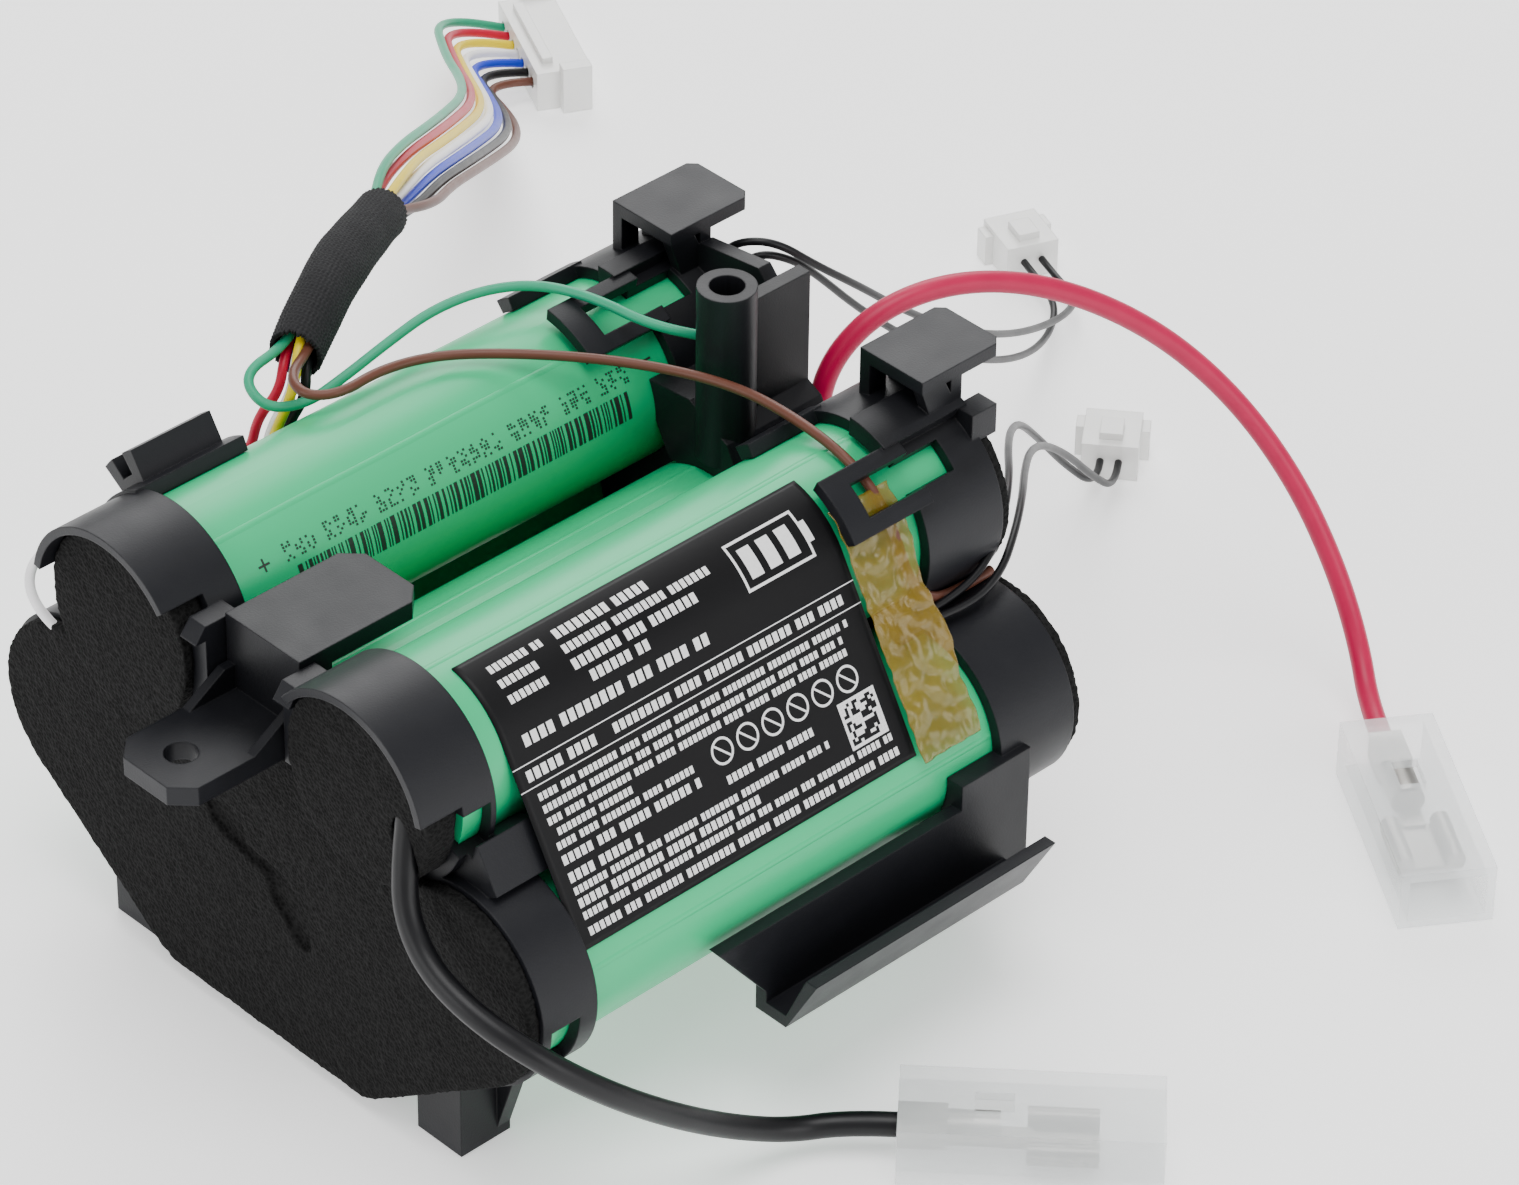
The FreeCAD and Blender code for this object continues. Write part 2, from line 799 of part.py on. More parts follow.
# ---- cords ------------------------------------------------------------------------------------
def tube(points, diameter, name=""):
    """A round tube along straight runs joined by tangent arcs, each as large as its runs allow."""
    spots = [Vector(*p) for p in points]
    edges = []
    here = spots[0]
    least = 1e9
    length = 0
    for before, corner, after in zip(spots, spots[1:], spots[2:]):
        back = before - corner
        on = after - corner
        shorter = min(back.Length, on.Length)
        turn = math.pi - back.getAngle(on)
        radius = 0.45 * shorter / math.tan(turn / 2)
        cut = 0.45 * shorter
        first = corner + Vector(back).normalize() * cut
        last = corner + Vector(on).normalize() * cut
        bisector = (Vector(back).normalize() + Vector(on).normalize()).normalize()
        middle = corner + bisector * (radius / math.cos(turn / 2) - radius)
        edges.append(Part.LineSegment(here, first).toShape())
        edges.append(Part.Arc(first, middle, last).toShape())
        length += (first - here).Length + radius * turn
        least = min(least, radius)
        here = last
    edges.append(Part.LineSegment(here, spots[-1]).toShape())
    length += (spots[-1] - here).Length
    path = Part.Wire(edges)
    circle = Part.makeCircle(diameter / 2, spots[0], spots[1] - spots[0])
    solid = path.makePipeShell([Part.Wire([circle])], True, False)
    if name:
        expected = math.pi * diameter ** 2 / 4 * length
        print(name, "length", round(length, 1), "least radius", round(least, 1),
              "volume ratio", round(solid.Volume / expected, 4))
    return solid


# the leads' routes are given round a pack with these marks, and move with the pack's own
LAID_X = [-29.35, 38.05]
LAID_Y = [-26.65, 26.65]
LAID_Z = [7.0, 11.0, 40.406]


def carried(value, old, new):
    """A value moved with a row of marks: in proportion between two, and with the end one outside."""
    if value <= old[0]:
        return value + new[0] - old[0]
    for low, high, to_low, to_high in zip(old, old[1:], new, new[1:]):
        if value <= high:
            return to_low + (value - low) / (high - low) * (to_high - to_low)
    return value + new[-1] - old[-1]


def laid(point):
    """A point of a lead, moved with the end plates and the cells."""
    x = carried(point[0], LAID_X, [at(rim_reach), at(rear_plate_out)])
    y = carried(point[1], LAID_Y, [CELLS[1][0], CELLS[4][0]])
    z = carried(point[2], LAID_Z, [LAID_Z[0], lower_axis_height, top_axis_height])
    return (x, y, z)


def on_floor(x, y):
    """A connector's place on the floor, moved in the same way."""
    return laid((x, y, 0.0))[:2]


# points of the routes, millimetres
POSITIVE_ROUTE = [
    (39.4, -0.4, 33.0), (39.5, -0.5, 38.2), (40.9, -0.6, 43.4), (44.6, -1.6, 47.2),
    (49.6, -3.2, 49.0), (55.8, -5.2, 48.7), (62.8, -7.6, 46.2), (70.0, -10.6, 41.6),
    (76.2, -14.2, 35.8), (80.8, -19.0, 28.8), (83.4, -24.4, 21.0), (84.2, -29.4, 13.0),
    (83.1, -33.9, 6.8), (79.94, -38.41, 3.2), (76.6, -43.4, 3.2),
]
NEGATIVE_ROUTE = [
    (-30.8, -20.0, 44.8), (-31.1, -21.8, 40.6), (-32.8, -22.9, 36.2), (-34.2, -24.4, 32.0),
    (-34.9, -28.0, 28.4), (-34.8, -33.4, 26.4), (-32.6, -39.0, 23.6), (-27.4, -42.4, 18.6),
    (-20.4, -43.3, 12.4), (-13.0, -43.5, 6.6), (-6.4, -44.8, 3.0), (-1.88, -47.7, 3.2),
    (1.4, -51.2, 3.2),
]
SENSE_ROUTES = {
    "thermistor_wire_1": [
        (40.2, 14.6, 46.0), (40.4, 14.0, 49.2), (41.0, 11.8, 51.6), (43.4, 9.2, 51.6),
        (47.2, 7.5, 48.0), (52.6, 7.2, 43.4), (60.2, 8.9, 36.4), (69.6, 11.6, 28.5),
        (79.5, 15.7, 21.0), (88.6, 20.1, 14.6), (97.6, 24.6, 9.0), (105.8, 28.6, 4.8),
        (111.6, 32.4, 2.4), (113.05, 36.7, 2.2), (114.6, 40.6, 2.2),
    ],
    "thermistor_wire_2": [
        (40.4, 13.2, 45.1), (40.7, 12.4, 48.0), (42.2, 10.4, 50.4), (45.2, 8.8, 49.0),
        (48.6, 8.6, 45.6), (53.8, 9.2, 39.8), (61.2, 10.7, 32.4), (69.6, 13.0, 25.0),
        (79.2, 16.4, 17.6), (89.2, 21.0, 10.6), (98.4, 26.0, 5.0), (105.6, 30.4, 2.0),
        (109.8, 33.8, 1.8), (111.25, 37.7, 2.2), (112.8, 41.6, 2.2),
    ],
    "thermistor_wire_3": [
        (28.0, -27.9, 34.6), (32.4, -28.6, 34.4), (37.0, -28.0, 35.6), (41.4, -25.4, 36.6),
        (46.2, -21.7, 36.4), (53.0, -15.5, 33.0), (60.4, -9.2, 28.5), (69.2, -2.8, 21.8),
        (77.4, 1.4, 14.4), (84.0, 3.7, 7.2), (89.4, 5.5, 2.2), (93.0, 8.4, 2.2),
    ],
    "thermistor_wire_4": [
        (28.0, -27.0, 34.8), (32.4, -27.3, 35.2), (37.0, -26.5, 36.6), (41.2, -24.1, 38.0),
        (45.6, -20.5, 38.4), (51.6, -14.5, 35.8), (58.8, -8.0, 31.2), (67.4, -1.2, 24.4),
        (75.6, 3.8, 16.0), (82.4, 6.4, 8.2), (88.2, 7.0, 2.2), (91.8, 9.9, 2.2),
    ],
}

# the harness: seven wires through one sleeve, then a flat fan to the connector
SLEEVE_ROUTE = [
    (-1.5, 27.6, 50.4), (3.8, 31.0, 51.2), (10.4, 35.6, 50.6), (17.4, 40.4, 48.6),
    (24.6, 45.4, 45.8),
]
FAN_ROUTE = [
    (32.0, 50.5, 43.0), (40.4, 56.9, 39.0), (49.9, 63.9, 33.6), (59.6, 71.8, 27.4),
    (69.6, 80.4, 20.8), (78.8, 90.4, 14.0), (86.8, 101.4, 8.2),
]
FAN_STEPS = [1.05, 1.08, 1.12, 1.18, 1.26, 1.4, 1.7]
FAN_LIFTS = [1.0, 0.3, 0.0, 0.0, 0.0, 0.0, 0.0]
FAN_SIDE = (-0.363, 0.669, 0.649)
FAN_LIFT = (0.477, -0.465, 0.746)
FAN_CORNER_BACK = 7.2
FAN_CORNER_SHARE = 0.35
FAN_CORNER_RISE = 0.8
FAN_CORNER_TILT = 0.4
PLUG_CENTRE = on_floor(103.3, 108.5)
PLUG_ALONG = (0.447, 0.894)
PLUG_INTO = (0.894, -0.447)
BUNDLE = [(1.2, 0.0), (0.6, -1.04), (0.6, 1.04), (0.0, 0.0), (-0.6, -1.04), (-1.2, 0.0),
          (-0.6, 1.04)]

# the first part of each tap wire, from its nickel link to the mouth of the harness sleeve
TAP_LEADS = {
    "tap_wire_green": [
        (38.8, 2.9, 36.6), (39.1, 2.8, 40.4), (37.6, 2.0, 44.4), (34.0, 1.6, 48.0),
        (28.8, 2.4, 50.6), (24.4, 6.8, 52.0), (23.2, 12.6, 52.6), (21.2, 18.4, 52.4),
        (17.4, 22.0, 51.8), (12.2, 23.8, 50.9), (6.8, 24.0, 49.6), (1.4, 24.2, 48.0),
        (-3.6, 23.9, 47.4), (-7.5, 25.4, 48.0), (-7.4, 28.6, 50.2),
    ],
    "tap_wire_red": [
        (-29.9, 25.0, 33.6), (-24.6, 26.4, 35.0), (-16.8, 29.4, 36.9), (-9.2, 29.7, 37.0),
        (-5.9, 29.5, 40.4), (-5.4, 28.9, 44.2), (-3.8, 27.4, 47.3),
    ],
    "tap_wire_yellow": [
        (38.6, 25.0, 33.6), (31.4, 25.7, 34.0), (23.0, 26.6, 33.6), (14.4, 27.2, 33.4),
        (6.0, 27.3, 33.2), (-1.8, 27.2, 33.3), (-6.4, 27.1, 37.4), (-6.0, 26.4, 43.0),
        (-3.7, 25.4, 48.2),
    ],
    "tap_wire_white": [
        (-29.9, 28.6, 31.4), (-31.4, 31.8, 34.0), (-28.6, 34.4, 37.0), (-22.8, 32.4, 37.6),
        (-16.4, 29.9, 35.8), (-9.4, 28.8, 35.6), (-5.4, 28.2, 39.2), (-4.9, 27.6, 43.6),
        (-3.2, 26.3, 47.3),
    ],
    "tap_wire_blue": [
        (38.6, 26.2, 34.6), (30.6, 27.3, 35.0), (22.0, 28.7, 34.2), (13.2, 29.3, 33.6),
        (4.6, 29.4, 33.5), (-0.8, 29.4, 33.9), (-4.2, 29.3, 38.0), (-4.1, 28.6, 42.8),
        (-2.7, 27.0, 46.2),
    ],
    "tap_wire_black": [
        (-29.9, 23.8, 32.8), (-24.4, 25.0, 33.6), (-16.6, 28.4, 34.4), (-8.2, 28.9, 34.2),
        (-4.0, 27.9, 38.2), (-3.5, 27.1, 43.0), (-2.1, 25.6, 46.8),
    ],
    "tap_wire_brown": [
        (38.2, -25.5, 33.9), (33.6, -25.8, 34.0), (28.8, -26.4, 35.6), (25.8, -26.7, 39.9),
        (25.0, -25.5, 45.1), (24.8, -22.5, 48.7), (24.8, -18.2, 50.4), (25.0, -12.4, 50.8),
        (24.6, -6.2, 51.0), (22.6, 0.4, 50.8), (18.4, 7.2, 50.8), (13.0, 13.4, 50.8),
        (7.4, 17.8, 51.0), (1.6, 19.2, 51.3), (-3.6, 18.8, 51.2), (-6.2, 21.0, 51.1),
        (-5.5, 23.9, 51.5),
    ],
}
TAP_ORDER = ["tap_wire_green", "tap_wire_red", "tap_wire_yellow", "tap_wire_white",
             "tap_wire_blue", "tap_wire_black", "tap_wire_brown"]


def shifted(point, side, lift):
    """A harness point moved across the harness and off its plane."""
    return tuple(p + s * side + f * lift for p, s, f in zip(point, FAN_SIDE, FAN_LIFT))


def plug_point(along, into, z):
    """A point of the harness connector, from its centre."""
    x = PLUG_CENTRE[0] + PLUG_ALONG[0] * along + PLUG_INTO[0] * into
    y = PLUG_CENTRE[1] + PLUG_ALONG[1] * along + PLUG_INTO[1] * into
    return (x, y, z)


def tap_route(name):
    """A whole tap wire: its lead, the sleeve, the fan and its place in the connector."""
    place = TAP_ORDER.index(name)
    side, lift = BUNDLE[place]
    from_middle = (pin_count - 1) / 2 - place
    points = list(TAP_LEADS[name])
    points += [shifted(p, side, lift) for p in SLEEVE_ROUTE]
    for p, step, part in zip(FAN_ROUTE, FAN_STEPS, FAN_LIFTS):
        points.append(shifted(p, from_middle * step, lift * part))
    points = [laid(p) for p in points]
    entry = from_middle * pin_pitch
    back = plug_depth / 2 + FAN_CORNER_BACK + FAN_CORNER_SHARE * from_middle
    rise = FAN_CORNER_RISE + FAN_CORNER_TILT * (from_middle + 3)
    points.append(plug_point(entry, -back, plug_wire_height + rise))
    points.append(plug_point(entry, -plug_depth / 2, plug_wire_height))
    return points


def turned_block(centre, along, length, width, z0, z1):
    """A level block whose length points along a direction in plan."""
    ax, ay = along
    corners = []
    for u, v in ((-0.5, -0.5), (0.5, -0.5), (0.5, 0.5), (-0.5, 0.5)):
        x = centre[0] + ax * u * length - ay * v * width
        y = centre[1] + ay * u * length + ax * v * width
        corners.append((x, y))
    return slab(corners, z0, z1)


def offset(point, along, distance, across=0.0):
    """A point in plan moved along a direction and across it."""
    return (point[0] + along[0] * distance - along[1] * across,
            point[1] + along[1] * distance + along[0] * across)


# ---- connectors -------------------------------------------------------------------------------

def blade_housing(entry, along):
    """A one-way housing: an open-ended sleeve with a latch window on top."""
    centre = offset(entry, along, housing_length / 2)
    body = turned_block(centre, along, housing_length, housing_width, 0, housing_height)
    hollow = turned_block(centre, along, housing_length + 2, housing_width - 2 * housing_wall,
                          housing_wall, housing_height - housing_wall)
    latch = turned_block(offset(entry, along, housing_length * 0.36), along, 3.6, 2.6,
                         housing_height - 2 * housing_wall, housing_height + 1)
    return body.cut(hollow).cut(latch)


def blade_terminal(entry, along):
    """The crimped receptacle: strain grip, barrel, neck and rolled blade socket."""
    z = housing_height / 2
    floor_z = z - 1.4
    direction = Vector(along[0], along[1], 0)
    grip = turned_block(offset(entry, along, strain_length / 2), along, strain_length, 3.2,
                        z - 1.5, z + 1.5)
    start = offset(entry, along, strain_length)
    barrel = Part.makeCylinder(barrel_radius, barrel_length, Vector(start[0], start[1], z),
                               direction)
    neck_start = strain_length + barrel_length - 0.6
    socket_start = neck_start + 3.1
    neck = turned_block(offset(entry, along, neck_start + 1.8), along, 3.6, 2.2,
                        floor_z, floor_z + 0.8)
    floor = turned_block(offset(entry, along, socket_start + blade_socket_length / 2), along,
                         blade_socket_length, blade_socket_width, floor_z, floor_z + socket_sheet)
    rolls = []
    for side in (-1, 1):
        across = side * (blade_socket_width / 2 - 0.8)
        spot = offset(entry, along, socket_start, across)
        centre = Vector(spot[0], spot[1], floor_z + socket_roll_radius)
        rolls.append(Part.makeCylinder(socket_roll_radius, blade_socket_length, centre, direction))
    return join([grip, barrel, neck, floor] + rolls)


def harness_connector():
    """The seven-way housing with its wire holes, side ears and top ribs."""
    length = pin_pitch * (pin_count - 1) + 2 * plug_end_margin
    body = turned_block(PLUG_CENTRE, PLUG_ALONG, length, plug_depth, 0, plug_height)
    pieces = [body]
    for end in (-1, 1):
        ear_centre = plug_point(end * (length / 2 + 0.5), 1.2, 0)[:2]
        pieces.append(turned_block(ear_centre, PLUG_ALONG, 1.6, 3.4, 0, plug_height + 0.9))
    rib_centre = plug_point(0, -1.4, 0)[:2]
    pieces.append(turned_block(rib_centre, PLUG_ALONG, length - 4, 1.2, 2.0, plug_height + 0.7))
    holes = contact_holes(plug_hole_radius, -plug_depth / 2 - 1, plug_hole_depth + 1)
    return join(pieces).cut(Part.makeCompound(holes))


def contact_holes(radius, start, depth):
    """A round hole or pin for each way of the harness connector."""
    holes = []
    for place in range(pin_count):
        along = ((pin_count - 1) / 2 - place) * pin_pitch
        x, y, z = plug_point(along, start, plug_wire_height)
        holes.append(
            Part.makeCylinder(radius, depth, Vector(x, y, z), Vector(PLUG_INTO[0], PLUG_INTO[1], 0))
        )
    return holes


SENSE_PLUGS = {
    "thermistor_plug_upper": (on_floor(113.7, 41.1), (0.37, 0.929)),
    "thermistor_plug_lower": (on_floor(92.4, 9.15), (0.777, 0.63)),
}
POSITIVE_PLUG = (on_floor(76.6, -43.4), (-0.556, -0.831))
NEGATIVE_PLUG = (on_floor(1.4, -51.2), (0.684, -0.7295))
UPPER_BEAD = (laid((40.4, 13.9, 45.6)), (0, 0, -1))
LOWER_BEAD = (laid((28.0, -27.4, 34.7)), (-1, 0, 0))


def sense_plug(entry, along):
    """A two-way housing with a wider mating flange."""
    body = turned_block(offset(entry, along, sense_length / 2), along, sense_length, sense_width,
                        0, sense_height)
    flange = turned_block(offset(entry, along, sense_length - 1.6), along, 2.2,
                          sense_width + 1.8, 0, sense_height - 0.6)
    ridge = turned_block(offset(entry, along, 2.6), along, 3.0, 2.4, 1, sense_height + 0.8)
    return join([body, flange, ridge])


def thermistor(spot, direction):
    """An epoxy-coated bead."""
    radius = thermistor_diameter / 2
    bar = Part.makeCylinder(radius, thermistor_length, Vector(*spot), Vector(*direction))
    return bar.makeFillet(radius * 0.6, [bar.Edges[0], bar.Edges[2]])


def main():
    os.makedirs("parts", exist_ok=True)
    nodes = {}
    nodes["front_cap"] = front_cap()
    inner = (at(front_plate_in), at(rear_plate_in))
    sleeved = [rod(y, z, sleeve_radius, inner[0], inner[1]) for y, z, _ in CELLS]
    nodes["rear_cap"] = rear_cap().cut(Part.makeCompound(sleeved))
    for number, cell in enumerate(CELLS, 1):
        nodes["cell_%d" % number] = cell_can(cell)
        nodes["cell_sleeve_%d" % number] = cell_sleeve(cell)
    nodes["insulator_rings"] = Part.makeCompound([insulator_ring(cell) for cell in CELLS])
    for first, second in FRONT_LINKS:
        nodes["front_link_%d_%d" % (first + 1, second + 1)] = link(first, second, True)
    for first, second in REAR_LINKS:
        nodes["rear_link_%d_%d" % (first + 1, second + 1)] = link(first, second, False)
    negative_route = [laid(p) for p in NEGATIVE_ROUTE]
    positive_route = [laid(p) for p in POSITIVE_ROUTE]
    sleeve_route = [laid(p) for p in SLEEVE_ROUTE]
    nodes["negative_tab"] = end_tab(0, laid((0.0, -20.0, 43.2))[1:], True)
    nodes["positive_tab"] = end_tab(6, laid((0.0, -0.4, 34.0))[1:], False)
    cords = {
        "positive_cable": (positive_route, main_cable_diameter),
        "negative_cable": (negative_route, ground_cable_diameter),
    }
    for name, route in SENSE_ROUTES.items():
        cords[name] = ([laid(p) for p in route], sense_wire_diameter)
    for name in TAP_ORDER:
        cords[name] = (tap_route(name), tap_wire_diameter)
    for name, (route, diameter) in cords.items():
        nodes[name] = tube(route, diameter, name)
    links = [nodes[n] for n in nodes if "link" in n or n.endswith("_tab")]
    nodes["thermistor_upper"] = thermistor(*UPPER_BEAD)
    nodes["thermistor_lower"] = thermistor(*LOWER_BEAD)
    channel = tube(negative_route[:5], ground_cable_diameter + 0.3)
    nodes["front_foam_pad"] = front_foam().cut(links + [channel, nodes["front_cap"]])
    nodes["rear_foam_pad"] = rear_foam().cut(
        links + [nodes["rear_cap"], nodes["thermistor_upper"], nodes["positive_cable"]])
    label_start = at(label_from_rim)
    nodes["rating_label"] = wrap(label_start_angle, 2, sleeve_radius, label_thickness,
                                 label_start, label_start + label_length)
    tape_start = label_start + label_length
    nodes["holding_tape"] = wrap(38, 6, sleeve_radius + tap_wire_diameter + 0.1, tape_thickness,
                                 tape_start, tape_start + tape_length)
    sleeve = tube(sleeve_route, harness_sleeve_diameter, "harness_sleeve")
    hollow = tube(sleeve_route, harness_sleeve_diameter - 2 * harness_sleeve_wall)
    nodes["harness_sleeve"] = sleeve.cut(hollow)
    nodes["harness_connector"] = harness_connector()
    nodes["harness_contacts"] = Part.makeCompound(
        contact_holes(contact_radius, -plug_depth / 2, plug_hole_depth - 0.1))
    nodes["positive_plug"] = blade_housing(*POSITIVE_PLUG)
    nodes["positive_terminal"] = blade_terminal(*POSITIVE_PLUG)
    nodes["negative_plug"] = blade_housing(*NEGATIVE_PLUG)
    nodes["negative_terminal"] = blade_terminal(*NEGATIVE_PLUG)
    for name, place in SENSE_PLUGS.items():
        nodes[name] = sense_plug(*place)
    for name, shape in nodes.items():
        print(name, shape.isValid(), len(shape.Solids), round(shape.Volume, 1))
        shape.exportStep("parts/" + name + ".step")


main()
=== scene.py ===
"""Visual model of a seven-cell battery pack with its leads, laid out as an add-on."""
import math
import random

import bpy
from bpy.props import FloatProperty, FloatVectorProperty, PointerProperty
from bpy.types import Operator, Panel, PropertyGroup
from mathutils import Matrix, Vector, noise


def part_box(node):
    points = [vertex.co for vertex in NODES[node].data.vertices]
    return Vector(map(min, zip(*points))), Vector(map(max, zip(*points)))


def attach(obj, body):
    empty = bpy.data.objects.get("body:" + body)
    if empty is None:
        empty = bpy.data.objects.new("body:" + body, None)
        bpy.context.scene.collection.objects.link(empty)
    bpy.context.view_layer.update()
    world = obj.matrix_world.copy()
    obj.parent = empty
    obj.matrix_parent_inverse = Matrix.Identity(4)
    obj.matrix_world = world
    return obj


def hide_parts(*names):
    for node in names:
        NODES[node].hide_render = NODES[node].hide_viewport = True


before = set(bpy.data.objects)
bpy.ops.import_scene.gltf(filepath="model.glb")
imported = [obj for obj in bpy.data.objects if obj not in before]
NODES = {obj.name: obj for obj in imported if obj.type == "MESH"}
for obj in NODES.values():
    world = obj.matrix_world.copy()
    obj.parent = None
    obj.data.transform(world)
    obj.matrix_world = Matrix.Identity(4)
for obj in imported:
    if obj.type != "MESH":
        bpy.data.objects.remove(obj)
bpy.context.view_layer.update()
MM = 0.001

bl_info = {
    "name": "Battery pack",
    "version": (1, 0, 0),
    "blender": (4, 5, 0),
    "location": "3D View > Sidebar > Battery pack",
    "description": "Builds the sleeves, foam, label, tape, leads and finishes of a battery pack",
    "category": "Object",
}

# ---- where the cells are, from their own boxes --------------------------------------------------


def axis_of(number):
    """(y, z) of a cell's axis, in millimetres."""
    low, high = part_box("cell_%d" % number)
    return ((low[1] + high[1]) / 2 / MM, (low[2] + high[2]) / 2 / MM)


def span_of(node):
    """The x at the front and the rear of a node, in millimetres."""
    low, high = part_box(node)
    return low[0] / MM, high[0] / MM


def radius_of(node):
    """The outside radius of a node that lies along X, in millimetres."""
    low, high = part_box(node)
    return (high[2] - low[2]) / 2 / MM


CELL_AXIS = {number: axis_of(number) for number in range(1, 8)}
CELL_SPAN = {number: span_of("cell_sleeve_%d" % number) for number in range(1, 8)}
SLEEVE_RADIUS = radius_of("cell_sleeve_7")


# ---- routes of the leads, in millimetres --------------------------------------------------------
CRIMSON_ROUTE = [
    (39.4, -0.4, 33.0), (39.5, -0.5, 38.2), (40.9, -0.6, 43.4), (44.6, -1.6, 47.2),
    (49.6, -3.2, 49.0), (55.8, -5.2, 48.7), (62.8, -7.6, 46.2), (70.0, -10.6, 41.6),
    (76.2, -14.2, 35.8), (80.8, -19.0, 28.8), (83.4, -24.4, 21.0), (84.2, -29.4, 13.0),
    (83.1, -33.9, 6.8), (79.94, -38.41, 3.2), (76.6, -43.4, 3.2),
]
GROUND_ROUTE = [
    (-30.8, -20.0, 44.8), (-31.1, -21.8, 40.6), (-32.8, -22.9, 36.2), (-34.2, -24.4, 32.0),
    (-34.9, -28.0, 28.4), (-34.8, -33.4, 26.4), (-32.6, -39.0, 23.6), (-27.4, -42.4, 18.6),
    (-20.4, -43.3, 12.4), (-13.0, -43.5, 6.6), (-6.4, -44.8, 3.0), (-1.88, -47.7, 3.2),
    (1.4, -51.2, 3.2),
]
SENSE_ROUTES = {
    "thermistor_wire_1": [
        (40.2, 14.6, 46.0), (40.4, 14.0, 49.2), (41.0, 11.8, 51.6), (43.4, 9.2, 51.6),
        (47.2, 7.5, 48.0), (52.6, 7.2, 43.4), (60.2, 8.9, 36.4), (69.6, 11.6, 28.5),
        (79.5, 15.7, 21.0), (88.6, 20.1, 14.6), (97.6, 24.6, 9.0), (105.8, 28.6, 4.8),
        (111.6, 32.4, 2.4), (113.05, 36.7, 2.2), (114.6, 40.6, 2.2),
    ],
    "thermistor_wire_2": [
        (40.4, 13.2, 45.1), (40.7, 12.4, 48.0), (42.2, 10.4, 50.4), (45.2, 8.8, 49.0),
        (48.6, 8.6, 45.6), (53.8, 9.2, 39.8), (61.2, 10.7, 32.4), (69.6, 13.0, 25.0),
        (79.2, 16.4, 17.6), (89.2, 21.0, 10.6), (98.4, 26.0, 5.0), (105.6, 30.4, 2.0),
        (109.8, 33.8, 1.8), (111.25, 37.7, 2.2), (112.8, 41.6, 2.2),
    ],
    "thermistor_wire_3": [
        (28.0, -27.9, 34.6), (32.4, -28.6, 34.4), (37.0, -28.0, 35.6), (41.4, -25.4, 36.6),
        (46.2, -21.7, 36.4), (53.0, -15.5, 33.0), (60.4, -9.2, 28.5), (69.2, -2.8, 21.8),
        (77.4, 1.4, 14.4), (84.0, 3.7, 7.2), (89.4, 5.5, 2.2), (93.0, 8.4, 2.2),
    ],
    "thermistor_wire_4": [
        (28.0, -27.0, 34.8), (32.4, -27.3, 35.2), (37.0, -26.5, 36.6), (41.2, -24.1, 38.0),
        (45.6, -20.5, 38.4), (51.6, -14.5, 35.8), (58.8, -8.0, 31.2), (67.4, -1.2, 24.4),
        (75.6, 3.8, 16.0), (82.4, 6.4, 8.2), (88.2, 7.0, 2.2), (91.8, 9.9, 2.2),
    ],
}
SLEEVE_ROUTE = [
    (-1.5, 27.6, 50.4), (3.8, 31.0, 51.2), (10.4, 35.6, 50.6), (17.4, 40.4, 48.6),
    (24.6, 45.4, 45.8),
]
FAN_ROUTE = [
    (32.0, 50.5, 43.0), (40.4, 56.9, 39.0), (49.9, 63.9, 33.6), (59.6, 71.8, 27.4),
    (69.6, 80.4, 20.8), (78.8, 90.4, 14.0), (86.8, 101.4, 8.2),
]
FAN_STEPS = [1.05, 1.08, 1.12, 1.18, 1.26, 1.4, 1.7]
FAN_LIFTS = [1.0, 0.3, 0.0, 0.0, 0.0, 0.0, 0.0]
FAN_SIDE = (-0.363, 0.669, 0.649)
FAN_LIFT = (0.477, -0.465, 0.746)
PLUG_CENTRE = (103.3, 108.5)
PLUG_ALONG = (0.447, 0.894)
PLUG_INTO = (0.894, -0.447)
PIN_PITCH = 2.0
BUNDLE = [(1.2, 0.0), (0.6, -1.04), (0.6, 1.04), (0.0, 0.0), (-0.6, -1.04), (-1.2, 0.0),
          (-0.6, 1.04)]
